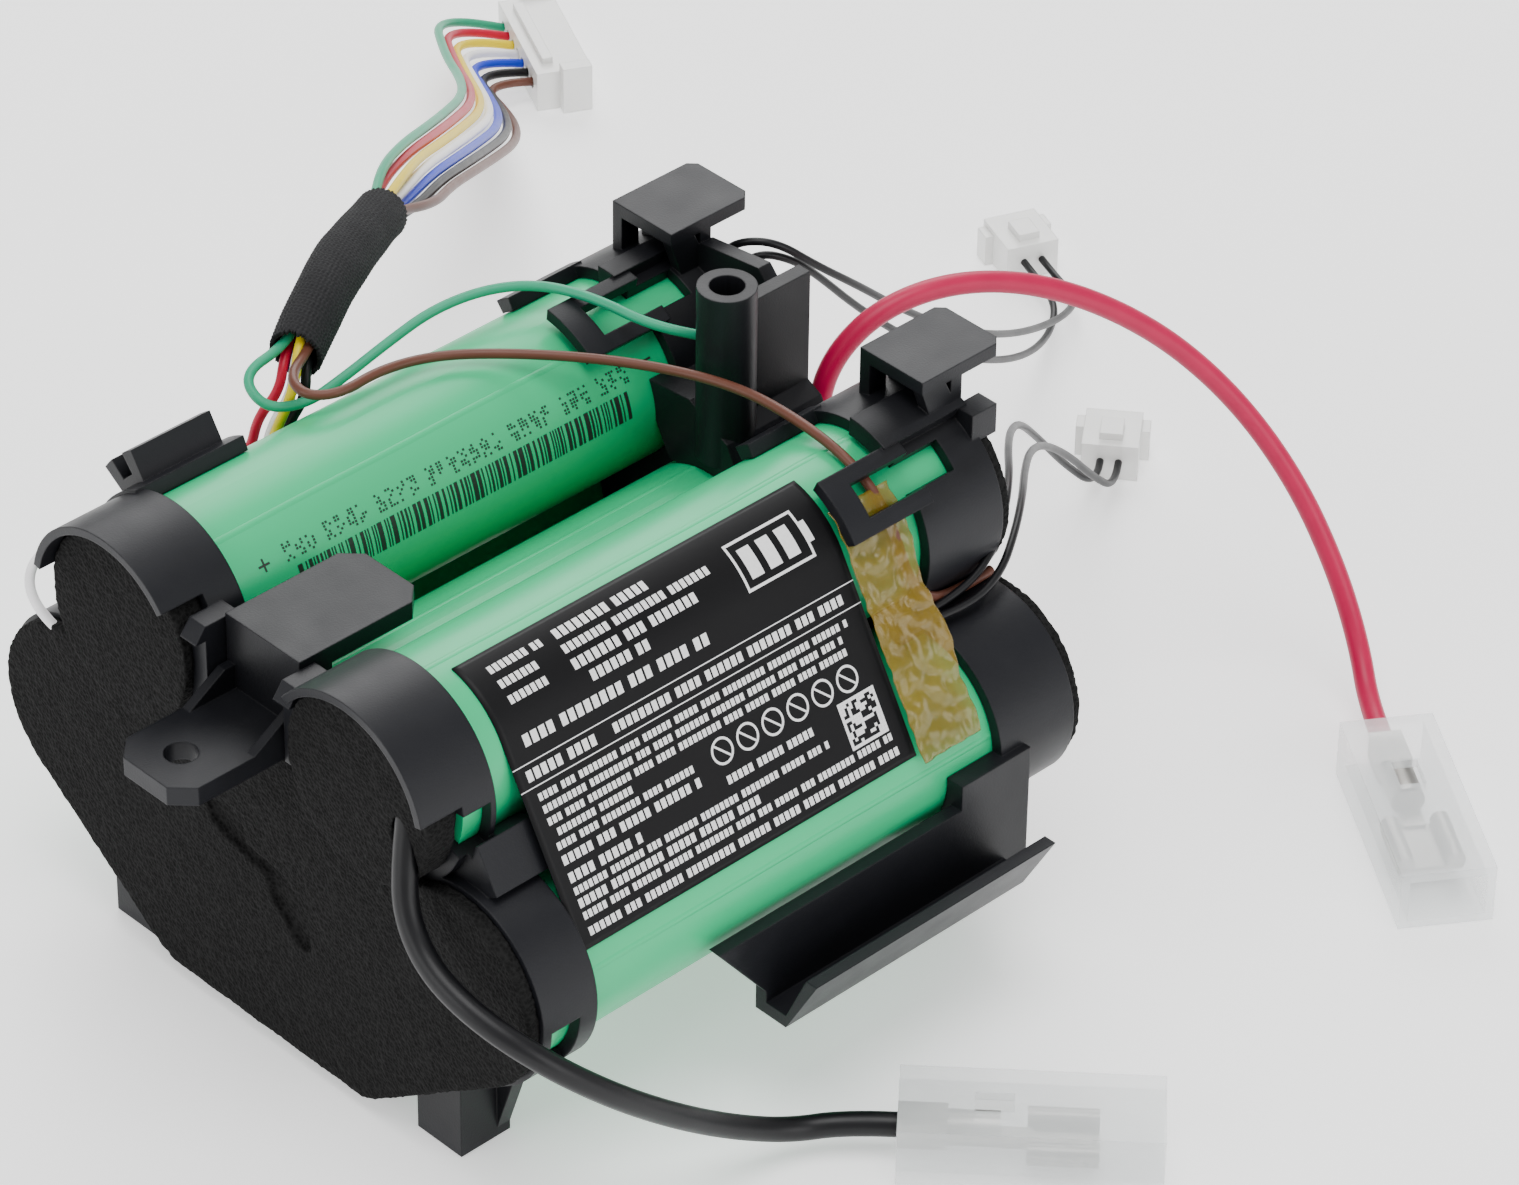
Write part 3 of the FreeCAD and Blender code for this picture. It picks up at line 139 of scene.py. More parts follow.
TAP_LEADS = {
    "green": [
        (38.8, 2.9, 36.6), (39.1, 2.8, 40.4), (37.6, 2.0, 44.4), (34.0, 1.6, 48.0),
        (28.8, 2.4, 50.6), (24.4, 6.8, 52.0), (23.2, 12.6, 52.6), (21.2, 18.4, 52.4),
        (17.4, 22.0, 51.8), (12.2, 23.8, 50.9), (6.8, 24.0, 49.6), (1.4, 24.2, 48.0),
        (-3.6, 23.9, 47.4), (-7.5, 25.4, 48.0), (-7.4, 28.6, 50.2),
    ],
    "red": [
        (-29.9, 25.0, 33.6), (-24.6, 26.4, 35.0), (-16.8, 29.4, 36.9), (-9.2, 29.7, 37.0),
        (-5.9, 29.5, 40.4), (-5.4, 28.9, 44.2), (-3.8, 27.4, 47.3),
    ],
    "yellow": [
        (38.6, 25.0, 33.6), (31.4, 25.7, 34.0), (23.0, 26.6, 33.6), (14.4, 27.2, 33.4),
        (6.0, 27.3, 33.2), (-1.8, 27.2, 33.3), (-6.4, 27.1, 37.4), (-6.0, 26.4, 43.0),
        (-3.7, 25.4, 48.2),
    ],
    "white": [
        (-29.9, 28.6, 31.4), (-31.4, 31.8, 34.0), (-28.6, 34.4, 37.0), (-22.8, 32.4, 37.6),
        (-16.4, 29.9, 35.8), (-9.4, 28.8, 35.6), (-5.4, 28.2, 39.2), (-4.9, 27.6, 43.6),
        (-3.2, 26.3, 47.3),
    ],
    "blue": [
        (38.6, 26.2, 34.6), (30.6, 27.3, 35.0), (22.0, 28.7, 34.2), (13.2, 29.3, 33.6),
        (4.6, 29.4, 33.5), (-0.8, 29.4, 33.9), (-4.2, 29.3, 38.0), (-4.1, 28.6, 42.8),
        (-2.7, 27.0, 46.2),
    ],
    "black": [
        (-29.9, 23.8, 32.8), (-24.4, 25.0, 33.6), (-16.6, 28.4, 34.4), (-8.2, 28.9, 34.2),
        (-4.0, 27.9, 38.2), (-3.5, 27.1, 43.0), (-2.1, 25.6, 46.8),
    ],
    "brown": [
        (38.2, -25.5, 33.9), (33.6, -25.8, 34.0), (28.8, -26.4, 35.6), (25.8, -26.7, 39.9),
        (25.0, -25.5, 45.1), (24.8, -22.5, 48.7), (24.8, -18.2, 50.4), (25.0, -12.4, 50.8),
        (24.6, -6.2, 51.0), (22.6, 0.4, 50.8), (18.4, 7.2, 50.8), (13.0, 13.4, 50.8),
        (7.4, 17.8, 51.0), (1.6, 19.2, 51.3), (-3.6, 18.8, 51.2), (-6.2, 21.0, 51.1),
        (-5.5, 23.9, 51.5),
    ],
}
TAP_ORDER = ["green", "red", "yellow", "white", "blue", "black", "brown"]
WIRE_COLOURS = {
    "green": (0.012, 0.30, 0.155), "red": (0.44, 0.002, 0.030), "yellow": (0.72, 0.54, 0.0),
    "white": (0.80, 0.79, 0.80), "blue": (0.010, 0.035, 0.50), "black": (0.004, 0.004, 0.005),
    "brown": (0.105, 0.036, 0.022),
}


def shifted(point, side, lift):
    """A harness point moved across the harness and off its plane."""
    return tuple(p + s * side + f * lift for p, s, f in zip(point, FAN_SIDE, FAN_LIFT))


def plug_point(along, into, z):
    """A point of the harness connector, from its centre."""
    return (PLUG_CENTRE[0] + PLUG_ALONG[0] * along + PLUG_INTO[0] * into,
            PLUG_CENTRE[1] + PLUG_ALONG[1] * along + PLUG_INTO[1] * into, z)


def tap_route(colour):
    """A whole tap wire: its lead, the sleeve, the fan and its place in the connector."""
    place = TAP_ORDER.index(colour)
    side, lift = BUNDLE[place]
    lane = 3 - place
    points = list(TAP_LEADS[colour])
    points += [shifted(p, side, lift) for p in SLEEVE_ROUTE]
    for p, step, part in zip(FAN_ROUTE, FAN_STEPS, FAN_LIFTS):
        points.append(shifted(p, lane * step, lift * part))
    points.append(plug_point(lane * PIN_PITCH, -10.4 - 0.35 * lane, 4.6 + 0.4 * lane))
    points.append(plug_point(lane * PIN_PITCH, -3.2, 2.6))
    return points


# ---- shader maths -------------------------------------------------------------------------------
class Flow:
    """A socket's value, so that shader maths reads as Python expressions."""

    def __init__(self, shop, socket):
        self.shop = shop
        self.socket = socket

    def pin(self, name):
        """Another output of the same node."""
        return Flow(self.shop, self.socket.node.outputs[name])

    def maths(self, operation, first, second=0.0):
        """A Math node on two values."""
        return self.shop.node("ShaderNodeMath", {"operation": operation}, {0: first, 1: second})

    def __add__(self, other):
        return self.maths("ADD", self, other)

    def __radd__(self, other):
        return self.maths("ADD", other, self)

    def __sub__(self, other):
        return self.maths("SUBTRACT", self, other)

    def __rsub__(self, other):
        return self.maths("SUBTRACT", other, self)

    def __mul__(self, other):
        return self.maths("MULTIPLY", self, other)

    def __rmul__(self, other):
        return self.maths("MULTIPLY", other, self)

    def __gt__(self, other):
        return self.maths("GREATER_THAN", self, other)

    def __lt__(self, other):
        return self.maths("LESS_THAN", self, other)


class Finish:
    """One material's node tree, and the ways to add to it."""

    def __init__(self, name):
        self.material = bpy.data.materials.new(name)
        self.material.use_nodes = True
        self.tree = self.material.node_tree
        self.tree.nodes.clear()

    def node(self, kind, settings=None, inputs=None, output=0):
        """A node of any kind: its settings first, then its values and links."""
        made = self.tree.nodes.new(kind)
        for name, value in (settings or {}).items():
            if name == "stops":
                for element, stop in zip(made.color_ramp.elements, value):
                    element.position = stop[0]
                    element.color = stop[1]
            else:
                setattr(made, name, value)
        for name, value in (inputs or {}).items():
            if isinstance(value, Flow):
                self.tree.links.new(value.socket, made.inputs[name])
            else:
                made.inputs[name].default_value = value
        return Flow(self, made.outputs[output]) if made.outputs else None

    def place(self, stretch=(1, 1, 1)):
        """Object coordinates, stretched along the axes."""
        spot = self.node("ShaderNodeTexCoord", output="Object")
        return self.node("ShaderNodeVectorMath", {"operation": "MULTIPLY"},
                         {0: spot, 1: stretch})

    def grain(self, scale, detail=2.0, stretch=(1, 1, 1)):
        """Soft noise from 0 to 1."""
        return self.node("ShaderNodeTexNoise", None,
                         {"Vector": self.place(stretch), "Scale": scale, "Detail": detail})

    def pores(self, scale):
        """Distance to the nearest of many scattered points."""
        return self.node("ShaderNodeTexVoronoi", None, {"Vector": self.place(), "Scale": scale})

    def blend(self, share, first, second):
        """A colour between two."""
        return self.node("ShaderNodeMix", {"data_type": "RGBA"},
                         {0: share, 6: (*first, 1), 7: (*second, 1)}, output=2)

    def relief(self, height, depth, strength=1.0, round_over=0.0):
        """A surface direction from a height, with edges rounded over if asked."""
        inputs = {"Height": height, "Distance": depth * MM, "Strength": strength}
        if round_over:
            inputs["Normal"] = self.node("ShaderNodeBevel", {"samples": 4},
                                         {"Radius": round_over * MM})
        return self.node("ShaderNodeBump", None, inputs)

    def close(self, sockets):
        """Ends the tree in one shader and returns the material."""
        shader = self.node("ShaderNodeBsdfPrincipled", None, sockets)
        self.node("ShaderNodeOutputMaterial", None, {"Surface": shader})
        return self.material


# ---- finishes -----------------------------------------------------------------------------------
def shade(colour, factor):
    """A colour made lighter or darker."""
    return tuple(min(1.0, part * factor) for part in colour)


def shrink_film(colour):
    """Glossy shrink film, drawn slightly uneven along the cell."""
    kit = Finish("shrink film")
    drawn = kit.grain(90, 3, (0.12, 1, 1))
    fine = kit.grain(900, 2, (0.25, 1, 1))
    return kit.close({
        "Base Color": kit.blend(drawn, shade(colour, 0.86), shade(colour, 1.12)),
        "Roughness": 0.30 + 0.10 * fine,
        "Normal": kit.relief(drawn + 0.15 * fine, 0.10, 0.5),
        "Specular IOR Level": 0.35,
        "Coat Weight": 0.08,
        "Coat Roughness": 0.25,
    })


def moulded_black(colour):
    """Satin moulded plastic with a fine sparked grain, random cloudy tone, and a painted highlight that
    makes its sharp edges a little lighter.
    """
    kit = Finish("moulded black plastic")
    cloud = kit.grain(260, 3)
    spark = kit.grain(5200, 2)
    # Painted highlight: sharp edges get a lighter base colour, standing in for the light that rounded
    # edges catch.
    edge_highlight_pointiness = kit.node("ShaderNodeNewGeometry", output="Pointiness")
    edge = kit.node("ShaderNodeMapRange", None,
                    {"Value": edge_highlight_pointiness, "From Min": 0.52, "From Max": 0.60, "To Max": 0.6})
    return kit.close({
        # Base colour: the painted edge highlight plus random cloudy tone.
        "Base Color": kit.blend(edge + 0.25 * cloud, colour, shade(colour, 2.2)),
        "Roughness": 0.34 + 0.16 * cloud,
        "Normal": kit.relief(spark, 0.03, 0.45, 0.22),
        "Specular IOR Level": 0.22,
    })


def open_foam():
    """Black open-cell foam."""
    kit = Finish("open cell foam")
    pore = kit.pores(2600)
    cloud = kit.grain(500, 4)
    return kit.close({
        "Base Color": kit.blend(pore + 0.4 * cloud, (0.001, 0.001, 0.001), (0.012, 0.012, 0.012)),
        "Roughness": 0.86 + 0.10 * cloud,
        "Normal": kit.relief(pore + cloud, 0.25, 0.8),
        "Specular IOR Level": 0.10,
    })


def insulation(colour, name):
    """Extruded insulation, with faint lengthwise variation."""
    kit = Finish(name + " insulation")
    cloud = kit.grain(420, 3)
    fine = kit.grain(3800, 2)
    return kit.close({
        "Base Color": kit.blend(cloud, shade(colour, 0.88), shade(colour, 1.12)),
        "Roughness": 0.34 + 0.12 * cloud,
        "Normal": kit.relief(fine, 0.02, 0.35),
        "Specular IOR Level": 0.28,
    })


def bright_metal(name, colour, rough):
    """Plated metal with drawn marks."""
    kit = Finish(name)
    drawn = kit.grain(1400, 3, (0.15, 1, 1))
    return kit.close({
        "Base Color": kit.blend(drawn, shade(colour, 0.86), colour),
        "Metallic": 1.0,
        "Roughness": rough + 0.18 * drawn,
        "Normal": kit.relief(drawn, 0.02, 0.3),
    })


def label_film(colour):
    """Satin black film."""
    kit = Finish("label film")
    fine = kit.grain(2600, 2)
    cloud = kit.grain(120, 2)
    return kit.close({
        "Base Color": kit.blend(cloud, colour, shade(colour, 1.5)),
        "Roughness": 0.40 + 0.10 * fine,
        "Normal": kit.relief(fine + cloud, 0.02, 0.3),
        "Specular IOR Level": 0.15,
    })


def ink(name, colour):
    """Printed ink, slightly uneven."""
    kit = Finish(name)
    cloud = kit.grain(3000, 3)
    return kit.close({
        "Base Color": kit.blend(cloud, shade(colour, 0.82), colour),
        "Roughness": 0.45 + 0.1 * cloud,
    })


def amber_film(colour, clearness):
    """Clear amber tape, folded and creased."""
    kit = Finish("amber film")
    crease = kit.grain(210, 4, (1, 0.5, 1))
    fine = kit.grain(900, 3)
    return kit.close({
        "Base Color": kit.blend(crease, shade(colour, 0.45), colour),
        "Roughness": 0.16 + 0.22 * fine,
        "Normal": kit.relief(crease + 0.3 * fine, 0.35, 0.6),
        "Alpha": clearness,
        "Coat Weight": 0.4,
        "Coat Roughness": 0.12,
    })


def braid_yarn():
    """Black woven yarn."""
    kit = Finish("woven yarn")
    fibre = kit.grain(5200, 3)
    cloud = kit.grain(340, 2)
    return kit.close({
        "Base Color": kit.blend(fibre, (0.002, 0.002, 0.002), (0.016, 0.016, 0.018)),
        "Roughness": 0.68 + 0.2 * cloud,
        "Normal": kit.relief(fibre, 0.06, 0.7),
        "Specular IOR Level": 0.15,
        "Sheen Weight": 0.05,
    })


def nylon(name, colour, clearness, rough):
    """Milky moulded nylon."""
    kit = Finish(name)
    cloud = kit.grain(380, 3)
    fine = kit.grain(3000, 2)
    return kit.close({
        "Base Color": kit.blend(cloud, shade(colour, 0.94), colour),
        "Roughness": rough + 0.1 * fine,
        "Normal": kit.relief(fine, 0.02, 0.3, 0.18),
        "Subsurface Weight": 0.15,
        "Subsurface Radius": (0.001, 0.001, 0.001),
        "Alpha": clearness,
        "Coat Weight": 0.2,
    })


def plain_card():
    """Fibrous white card."""
    kit = Finish("white card")
    fibre = kit.grain(2400, 4, (1, 0.4, 1))
    return kit.close({
        "Base Color": kit.blend(fibre, (0.70, 0.69, 0.66), (0.84, 0.84, 0.82)),
        "Roughness": 0.8 + 0.1 * fibre,
        "Normal": kit.relief(fibre, 0.03, 0.5),
    })


def dipped_epoxy():
    """Glossy black resin bead."""
    kit = Finish("dipped epoxy")
    cloud = kit.grain(600, 2)
    return kit.close({
        "Base Color": kit.blend(cloud, (0.008, 0.008, 0.009), (0.020, 0.020, 0.021)),
        "Roughness": 0.14 + 0.15 * cloud,
        "Normal": kit.relief(cloud, 0.10, 0.5),
    })


def floor_finish(colour):
    """Plain pale floor."""
    kit = Finish("pale floor")
    cloud = kit.grain(3, 2)
    return kit.close({
        "Base Color": kit.blend(cloud, shade(colour, 0.995), colour),
        "Roughness": 0.9,
        "Specular IOR Level": 0.1,
        "Emission Color": (1, 1, 1, 1),
        "Emission Strength": 0.55,
    })


# ---- making pieces ------------------------------------------------------------------------------
def settle(body, finish):
    """Links a piece, gives it its finish and makes it ride on the pack."""
    if body.name not in bpy.context.collection.objects:
        bpy.context.collection.objects.link(body)
    body.data.materials.clear()
    body.data.materials.append(finish)
    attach(body, "root")
    return body


def mesh_piece(name, points, faces, finish, smooth=True):
    """A mesh piece from points in millimetres."""
    mesh = bpy.data.meshes.new(name)
    mesh.from_pydata([tuple(v * MM for v in p) for p in points], [], faces)
    mesh.update()
    for polygon in mesh.polygons:
        polygon.use_smooth = smooth
    return settle(bpy.data.objects.new(name, mesh), finish)


def dress(node, finish):
    """Gives a frame node its finish."""
    for holder in NODES[node].material_slots:
        holder.material = finish


def lead_line(name, route):
    """An open smooth line through a route's control points, in metres."""
    line = bpy.data.curves.new(name, "CURVE")
    line.dimensions = "3D"
    line.resolution_u = 10
    run = line.splines.new("NURBS")
    run.points.add(len(route) - 1)
    for spot, point in zip(run.points, route):
        spot.co = (point[0] * MM, point[1] * MM, point[2] * MM, 1)
    run.order_u = 3
    run.use_endpoint_u = True
    return line


def lead(node, route, width, finish):
    """One lead: a round cord that stands for its frame node."""
    line = lead_line(node + "_lead", route)
    line.bevel_depth = width / 2 * MM
    line.bevel_resolution = 5
    line.use_fill_caps = True
    body = settle(bpy.data.objects.new(node + "_lead", line), finish)
    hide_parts(node)
    [v * MM for v in route[0]]
    return body


def traced(route):
    """Points along a route's smooth line, in millimetres."""
    body = bpy.data.objects.new("trace", lead_line("trace", route))
    bpy.context.collection.objects.link(body)
    mesh = bpy.data.meshes.new_from_object(body)
    points = [v.co.copy() / MM for v in mesh.vertices]
    bpy.data.objects.remove(body)
    bpy.data.meshes.remove(mesh)
    return points


def evened(points, step):
    """The same line with points at equal steps, and its directions."""
    marks = [0.0]
    for first, second in zip(points, points[1:]):
        marks.append(marks[-1] + (second - first).length)
    count = max(2, round(marks[-1] / step))
    line = []
    place = 0
    for index in range(count + 1):
        target = marks[-1] * index / count
        while place < len(marks) - 2 and marks[place + 1] < target:
            place += 1
        gap = max(1e-9, marks[place + 1] - marks[place])
        line.append(points[place].lerp(points[place + 1], (target - marks[place]) / gap))
    return line


def framed(line, across):
    """Each point of a line with two directions square to it, without twist."""
    side = Vector(across)
    stations = []
    for index, point in enumerate(line):
        before = line[max(0, index - 1)]
        after = line[min(len(line) - 1, index + 1)]
        ahead = (after - before).normalized()
        side = (side - ahead * side.dot(ahead)).normalized()
        stations.append((point, ahead, side, ahead.cross(side)))
    return stations


def slab_faces(columns, rows):
    """Faces of a closed thin slab: an upper grid, a lower grid and their rim."""
    lower = columns * rows
    faces = []
    for i in range(columns - 1):
        for j in range(rows - 1):
            a = i * rows + j
            faces.append((a, a + rows, a + rows + 1, a + 1))
            faces.append((lower + a, lower + a + 1, lower + a + rows + 1, lower + a + rows))
    for i in range(columns - 1):
        for j in (0, rows - 1):
            a = i * rows + j
            quad = (a, lower + a, lower + a + rows, a + rows)
            faces.append(quad if j == 0 else quad[::-1])
    for j in range(rows - 1):
        for i in (0, columns - 1):
            a = i * rows + j
            quad = (a, a + 1, lower + a + 1, lower + a)
            faces.append(quad if i == 0 else quad[::-1])
    return faces


def cell_point(number, x, angle, lift):
    """A point over a cell's sleeve: angle 0 is straight up, 90 is to the right."""
    y, z = CELL_AXIS[number]
    turn = math.radians(angle)
    reach = SLEEVE_RADIUS + lift
    return (x, y - reach * math.sin(turn), z + reach * math.cos(turn))


class Print:
    """Flat printed marks laid over a curved surface."""

    def __init__(self, surface):
        self.surface = surface
        self.points = []
        self.faces = []

    def bar(self, u0, v0, u1, v1, step=0.7):
        """A rectangle, divided so that it follows the surface."""
        cuts = max(1, math.ceil(abs(v1 - v0) / step))
        start = len(self.points)
        for index in range(cuts + 1):
            v = v0 + (v1 - v0) * index / cuts
            self.points += [self.surface(u0, v), self.surface(u1, v)]
        for index in range(cuts):
            a = start + 2 * index
            self.faces.append((a, a + 2, a + 3, a + 1))

    def ring(self, u, v, radius, width, turns=28):
        """A round line."""
        start = len(self.points)
        for index in range(turns):
            angle = 2 * math.pi * index / turns
            for reach in (radius - width, radius):
                self.points.append(self.surface(u + reach * math.cos(angle),
                                                v + reach * math.sin(angle)))
        for index in range(turns):
            a = start + 2 * index
            b = start + 2 * ((index + 1) % turns)
            self.faces.append((a, b, b + 1, a + 1))

    def stroke(self, u0, v0, u1, v1, width):
        """A straight line at any angle."""
        length = math.hypot(u1 - u0, v1 - v0)
        du = -(v1 - v0) / length * width / 2
        dv = (u1 - u0) / length * width / 2
        cuts = max(1, math.ceil(length / 0.7))
        start = len(self.points)
        for index in range(cuts + 1):
            u = u0 + (u1 - u0) * index / cuts
            v = v0 + (v1 - v0) * index / cuts
            self.points += [self.surface(u + du, v + dv), self.surface(u - du, v - dv)]
        for index in range(cuts):
            a = start + 2 * index
            self.faces.append((a, a + 2, a + 3, a + 1))

    def block_row(self, u, v, end, height, chance):
        """A row of plain blocks in groups, standing for a line of print."""
        wide = height * 0.62
        while u + wide < end:
            group = chance.randint(3, 9)
            for _ in range(group):
                if u + wide > end:
                    break
                self.bar(u, v - height / 2, u + wide, v + height / 2)
                u += wide * 1.34
            u += wide * 0.9

    def piece(self, name, finish, slot):
        """The marks as one piece."""
        return mesh_piece(name, self.points, self.faces, finish, smooth=False)


# ---- settings -----------------------------------------------------------------------------------
class PackStageSettings(PropertyGroup):
    """Camera, floor and lamps."""
    lens: FloatProperty(name="Lens", description="Focal length, in millimetres",
                        default=159.17, min=20, unit="CAMERA")
    azimuth: FloatProperty(name="Azimuth", description="Turn of the camera round the pack",
                           default=math.radians(-44.32), subtype="ANGLE")
    elevation: FloatProperty(name="Elevation", description="Height of the camera as an angle",
                             default=math.radians(36.47), subtype="ANGLE")
    roll: FloatProperty(name="Roll", description="Turn of the camera about its own axis",
                        default=math.radians(0.853), subtype="ANGLE")
    eye: FloatVectorProperty(name="Eye", description="Where the camera stands",
                             default=(-0.33314, -0.37469, 0.40729), subtype="TRANSLATION")
    floor_colour: FloatVectorProperty(name="Floor", description="Colour of the floor",
                                      default=(0.92, 0.92, 0.92), subtype="COLOR")
    lamp_power: FloatProperty(name="Lamp power", description="Power of the main lamp",
                              default=8.0, min=0, unit="POWER")
    sky: FloatProperty(name="Sky", description="Strength of the even light all round",
                       default=0.62, min=0)


class PackCellSettings(PropertyGroup):
    """Shrink sleeves and their print."""
    film_colour: FloatVectorProperty(name="Film", description="Colour of the shrink film",
                                     default=(0.003, 0.45, 0.175), subtype="COLOR")
    ink_lift: FloatProperty(name="Ink lift", description="Height of the print over the film",
                            default=0.02 * MM, min=0, unit="LENGTH")
    seam_height: FloatProperty(name="Seam height", description="Height of the film's seam",
                               default=0.07 * MM, min=0, unit="LENGTH")


class PackCapSettings(PropertyGroup):
    """Moulded caps and foam."""
    plastic_colour: FloatVectorProperty(name="Plastic", description="Colour of the mouldings",
                                        default=(0.0042, 0.0044, 0.0056), subtype="COLOR")
    foam_grain: FloatProperty(name="Foam grain", description="Depth of the foam's surface",
                              default=0.10 * MM, min=0, unit="LENGTH")
    foam_voxel: FloatProperty(name="Foam mesh", description="Size of the foam's mesh",
                              default=0.30 * MM, min=0.0001, unit="LENGTH")


class PackLabelSettings(PropertyGroup):
    """Label and tape."""
    film_colour: FloatVectorProperty(name="Film", description="Colour of the label",
                                     default=(0.0035, 0.0035, 0.0040), subtype="COLOR")
    ink_colour: FloatVectorProperty(name="Ink", description="Colour of the print",
                                    default=(0.80, 0.80, 0.80), subtype="COLOR")
    tape_colour: FloatVectorProperty(name="Tape", description="Colour of the tape",
                                     default=(0.30, 0.19, 0.004), subtype="COLOR")
    tape_clearness: FloatProperty(name="Tape cover", description="How much the tape hides",
                                  default=0.56, min=0, max=1, subtype="FACTOR")


class PackLeadSettings(PropertyGroup):
    """Cables, wires and connectors."""
    crimson_width: FloatProperty(name="Crimson cable", description="Its diameter",
                                 default=2.2 * MM, min=0.0005, unit="LENGTH")
    ground_width: FloatProperty(name="Black cable", description="Its diameter",
                                default=2.4 * MM, min=0.0005, unit="LENGTH")
    tap_width: FloatProperty(name="Tap wire", description="Its diameter",
                             default=1.0 * MM, min=0.0003, unit="LENGTH")
    sense_width: FloatProperty(name="Sense wire", description="Its diameter",
                               default=0.8 * MM, min=0.0003, unit="LENGTH")
    sleeve_width: FloatProperty(name="Harness sleeve", description="Its outside diameter",
                                default=5.6 * MM, min=0.001, unit="LENGTH")
    crimson: FloatVectorProperty(name="Crimson", description="Colour of the main cable",
                                 default=(0.42, 0.002, 0.052), subtype="COLOR")


# ---- operators ----------------------------------------------------------------------------------
class PackStage(Operator):
    """Camera, floor and soft lamps"""
    bl_idname = "battery_pack.stage"
    bl_label = "Stage"

    def execute(self, context):
        scene = context.scene
        values = scene.pack_stage
        azimuth, elevation = values.azimuth, values.elevation
        back = Vector((math.sin(azimuth) * math.cos(elevation),
                       -math.cos(azimuth) * math.cos(elevation), math.sin(elevation)))
        right = Vector((math.cos(azimuth), math.sin(azimuth), 0))
        upward = back.cross(right)
        turned_right = right * math.cos(values.roll) + upward * math.sin(values.roll)
        turned_up = upward * math.cos(values.roll) - right * math.sin(values.roll)
        camera = bpy.data.objects.new("camera", bpy.data.cameras.new("camera"))
        camera.data.sensor_width = 36
        camera.data.lens = values.lens
        camera.data.clip_end = 20
        turn = Matrix((turned_right, turned_up, back)).transposed().to_4x4()
        camera.matrix_world = Matrix.Translation(values.eye) @ turn
        context.collection.objects.link(camera)
        scene.camera = camera

        sheet = bpy.data.meshes.new("floor")
        sheet.from_pydata([(-4, -4, 0), (4, -4, 0), (4, 4, 0), (-4, 4, 0)], [], [(0, 1, 2, 3)])
        sheet.materials.append(floor_finish(tuple(values.floor_colour)))
        ground = bpy.data.objects.new("floor", sheet)
        ground.location = (0, 0, -0.0001)
        context.collection.objects.link(ground)

        world = bpy.data.worlds.new("studio")
        world.use_nodes = True
        world.node_tree.nodes["Background"].inputs["Color"].default_value = (1, 1, 1, 1)
        world.node_tree.nodes["Background"].inputs["Strength"].default_value = values.sky
        scene.world = world
        power = values.lamp_power
        self.lamp(context, "back lamp", (0.55, 0.55, 0.62), 0.7, power)
        self.lamp(context, "top lamp", (-0.10, -0.15, 0.95), 0.6, power * 0.9)
        self.lamp(context, "side lamp", (-0.75, 0.10, 0.35), 0.5, power * 0.35)
        self.lamp(context, "near lamp", (0.10, -0.80, 0.30), 0.5, power * 0.35)
        return {"FINISHED"}

    def lamp(self, context, name, spot, size, power):
        """A square soft lamp that faces the pack."""
        light = bpy.data.lights.new(name, "AREA")
        light.size = size
        light.energy = power
        body = bpy.data.objects.new(name, light)
        body.location = spot
        aim = Vector((0.01, 0.0, 0.03)) - body.location
        body.rotation_euler = aim.to_track_quat("-Z", "Y").to_euler()
        context.collection.objects.link(body)


class PackPowerLeads(Operator):
    """The crimson and the black main cable with their blade housings"""
    bl_idname = "battery_pack.power_leads"
    bl_label = "Main cables"

    def execute(self, context):
        values = context.scene.pack_leads
        clear = nylon("clear nylon", (0.80, 0.83, 0.83), 0.30, 0.16)
        tinned = bright_metal("tinned brass", (0.34, 0.33, 0.31), 0.30)
        for node in ("positive_plug", "negative_plug"):
            dress(node, clear)
        for node in ("positive_terminal", "negative_terminal"):
            dress(node, tinned)
        lead("positive_cable", CRIMSON_ROUTE, values.crimson_width / MM,
             insulation(tuple(values.crimson), "crimson"))
        lead("negative_cable", GROUND_ROUTE, values.ground_width / MM,
             insulation(WIRE_COLOURS["black"], "main black"))
        return {"FINISHED"}


class PackSenseLeads(Operator):
    """The four thin thermistor wires, their beads and two-way connectors"""
    bl_idname = "battery_pack.sense_leads"
    bl_label = "Thermistor wires"

    def execute(self, context):
        width = context.scene.pack_leads.sense_width / MM
        black = insulation(WIRE_COLOURS["black"], "sense black")
        white = nylon("white nylon", (0.80, 0.80, 0.78), 1.0, 0.32)
        bead = dipped_epoxy()
        for node in ("thermistor_upper", "thermistor_lower"):
            dress(node, bead)
        for node in ("thermistor_plug_upper", "thermistor_plug_lower"):
            dress(node, white)
        for number in (1, 2, 3, 4):
            node = "thermistor_wire_%d" % number
            lead(node, SENSE_ROUTES[node], width, black)
        return {"FINISHED"}


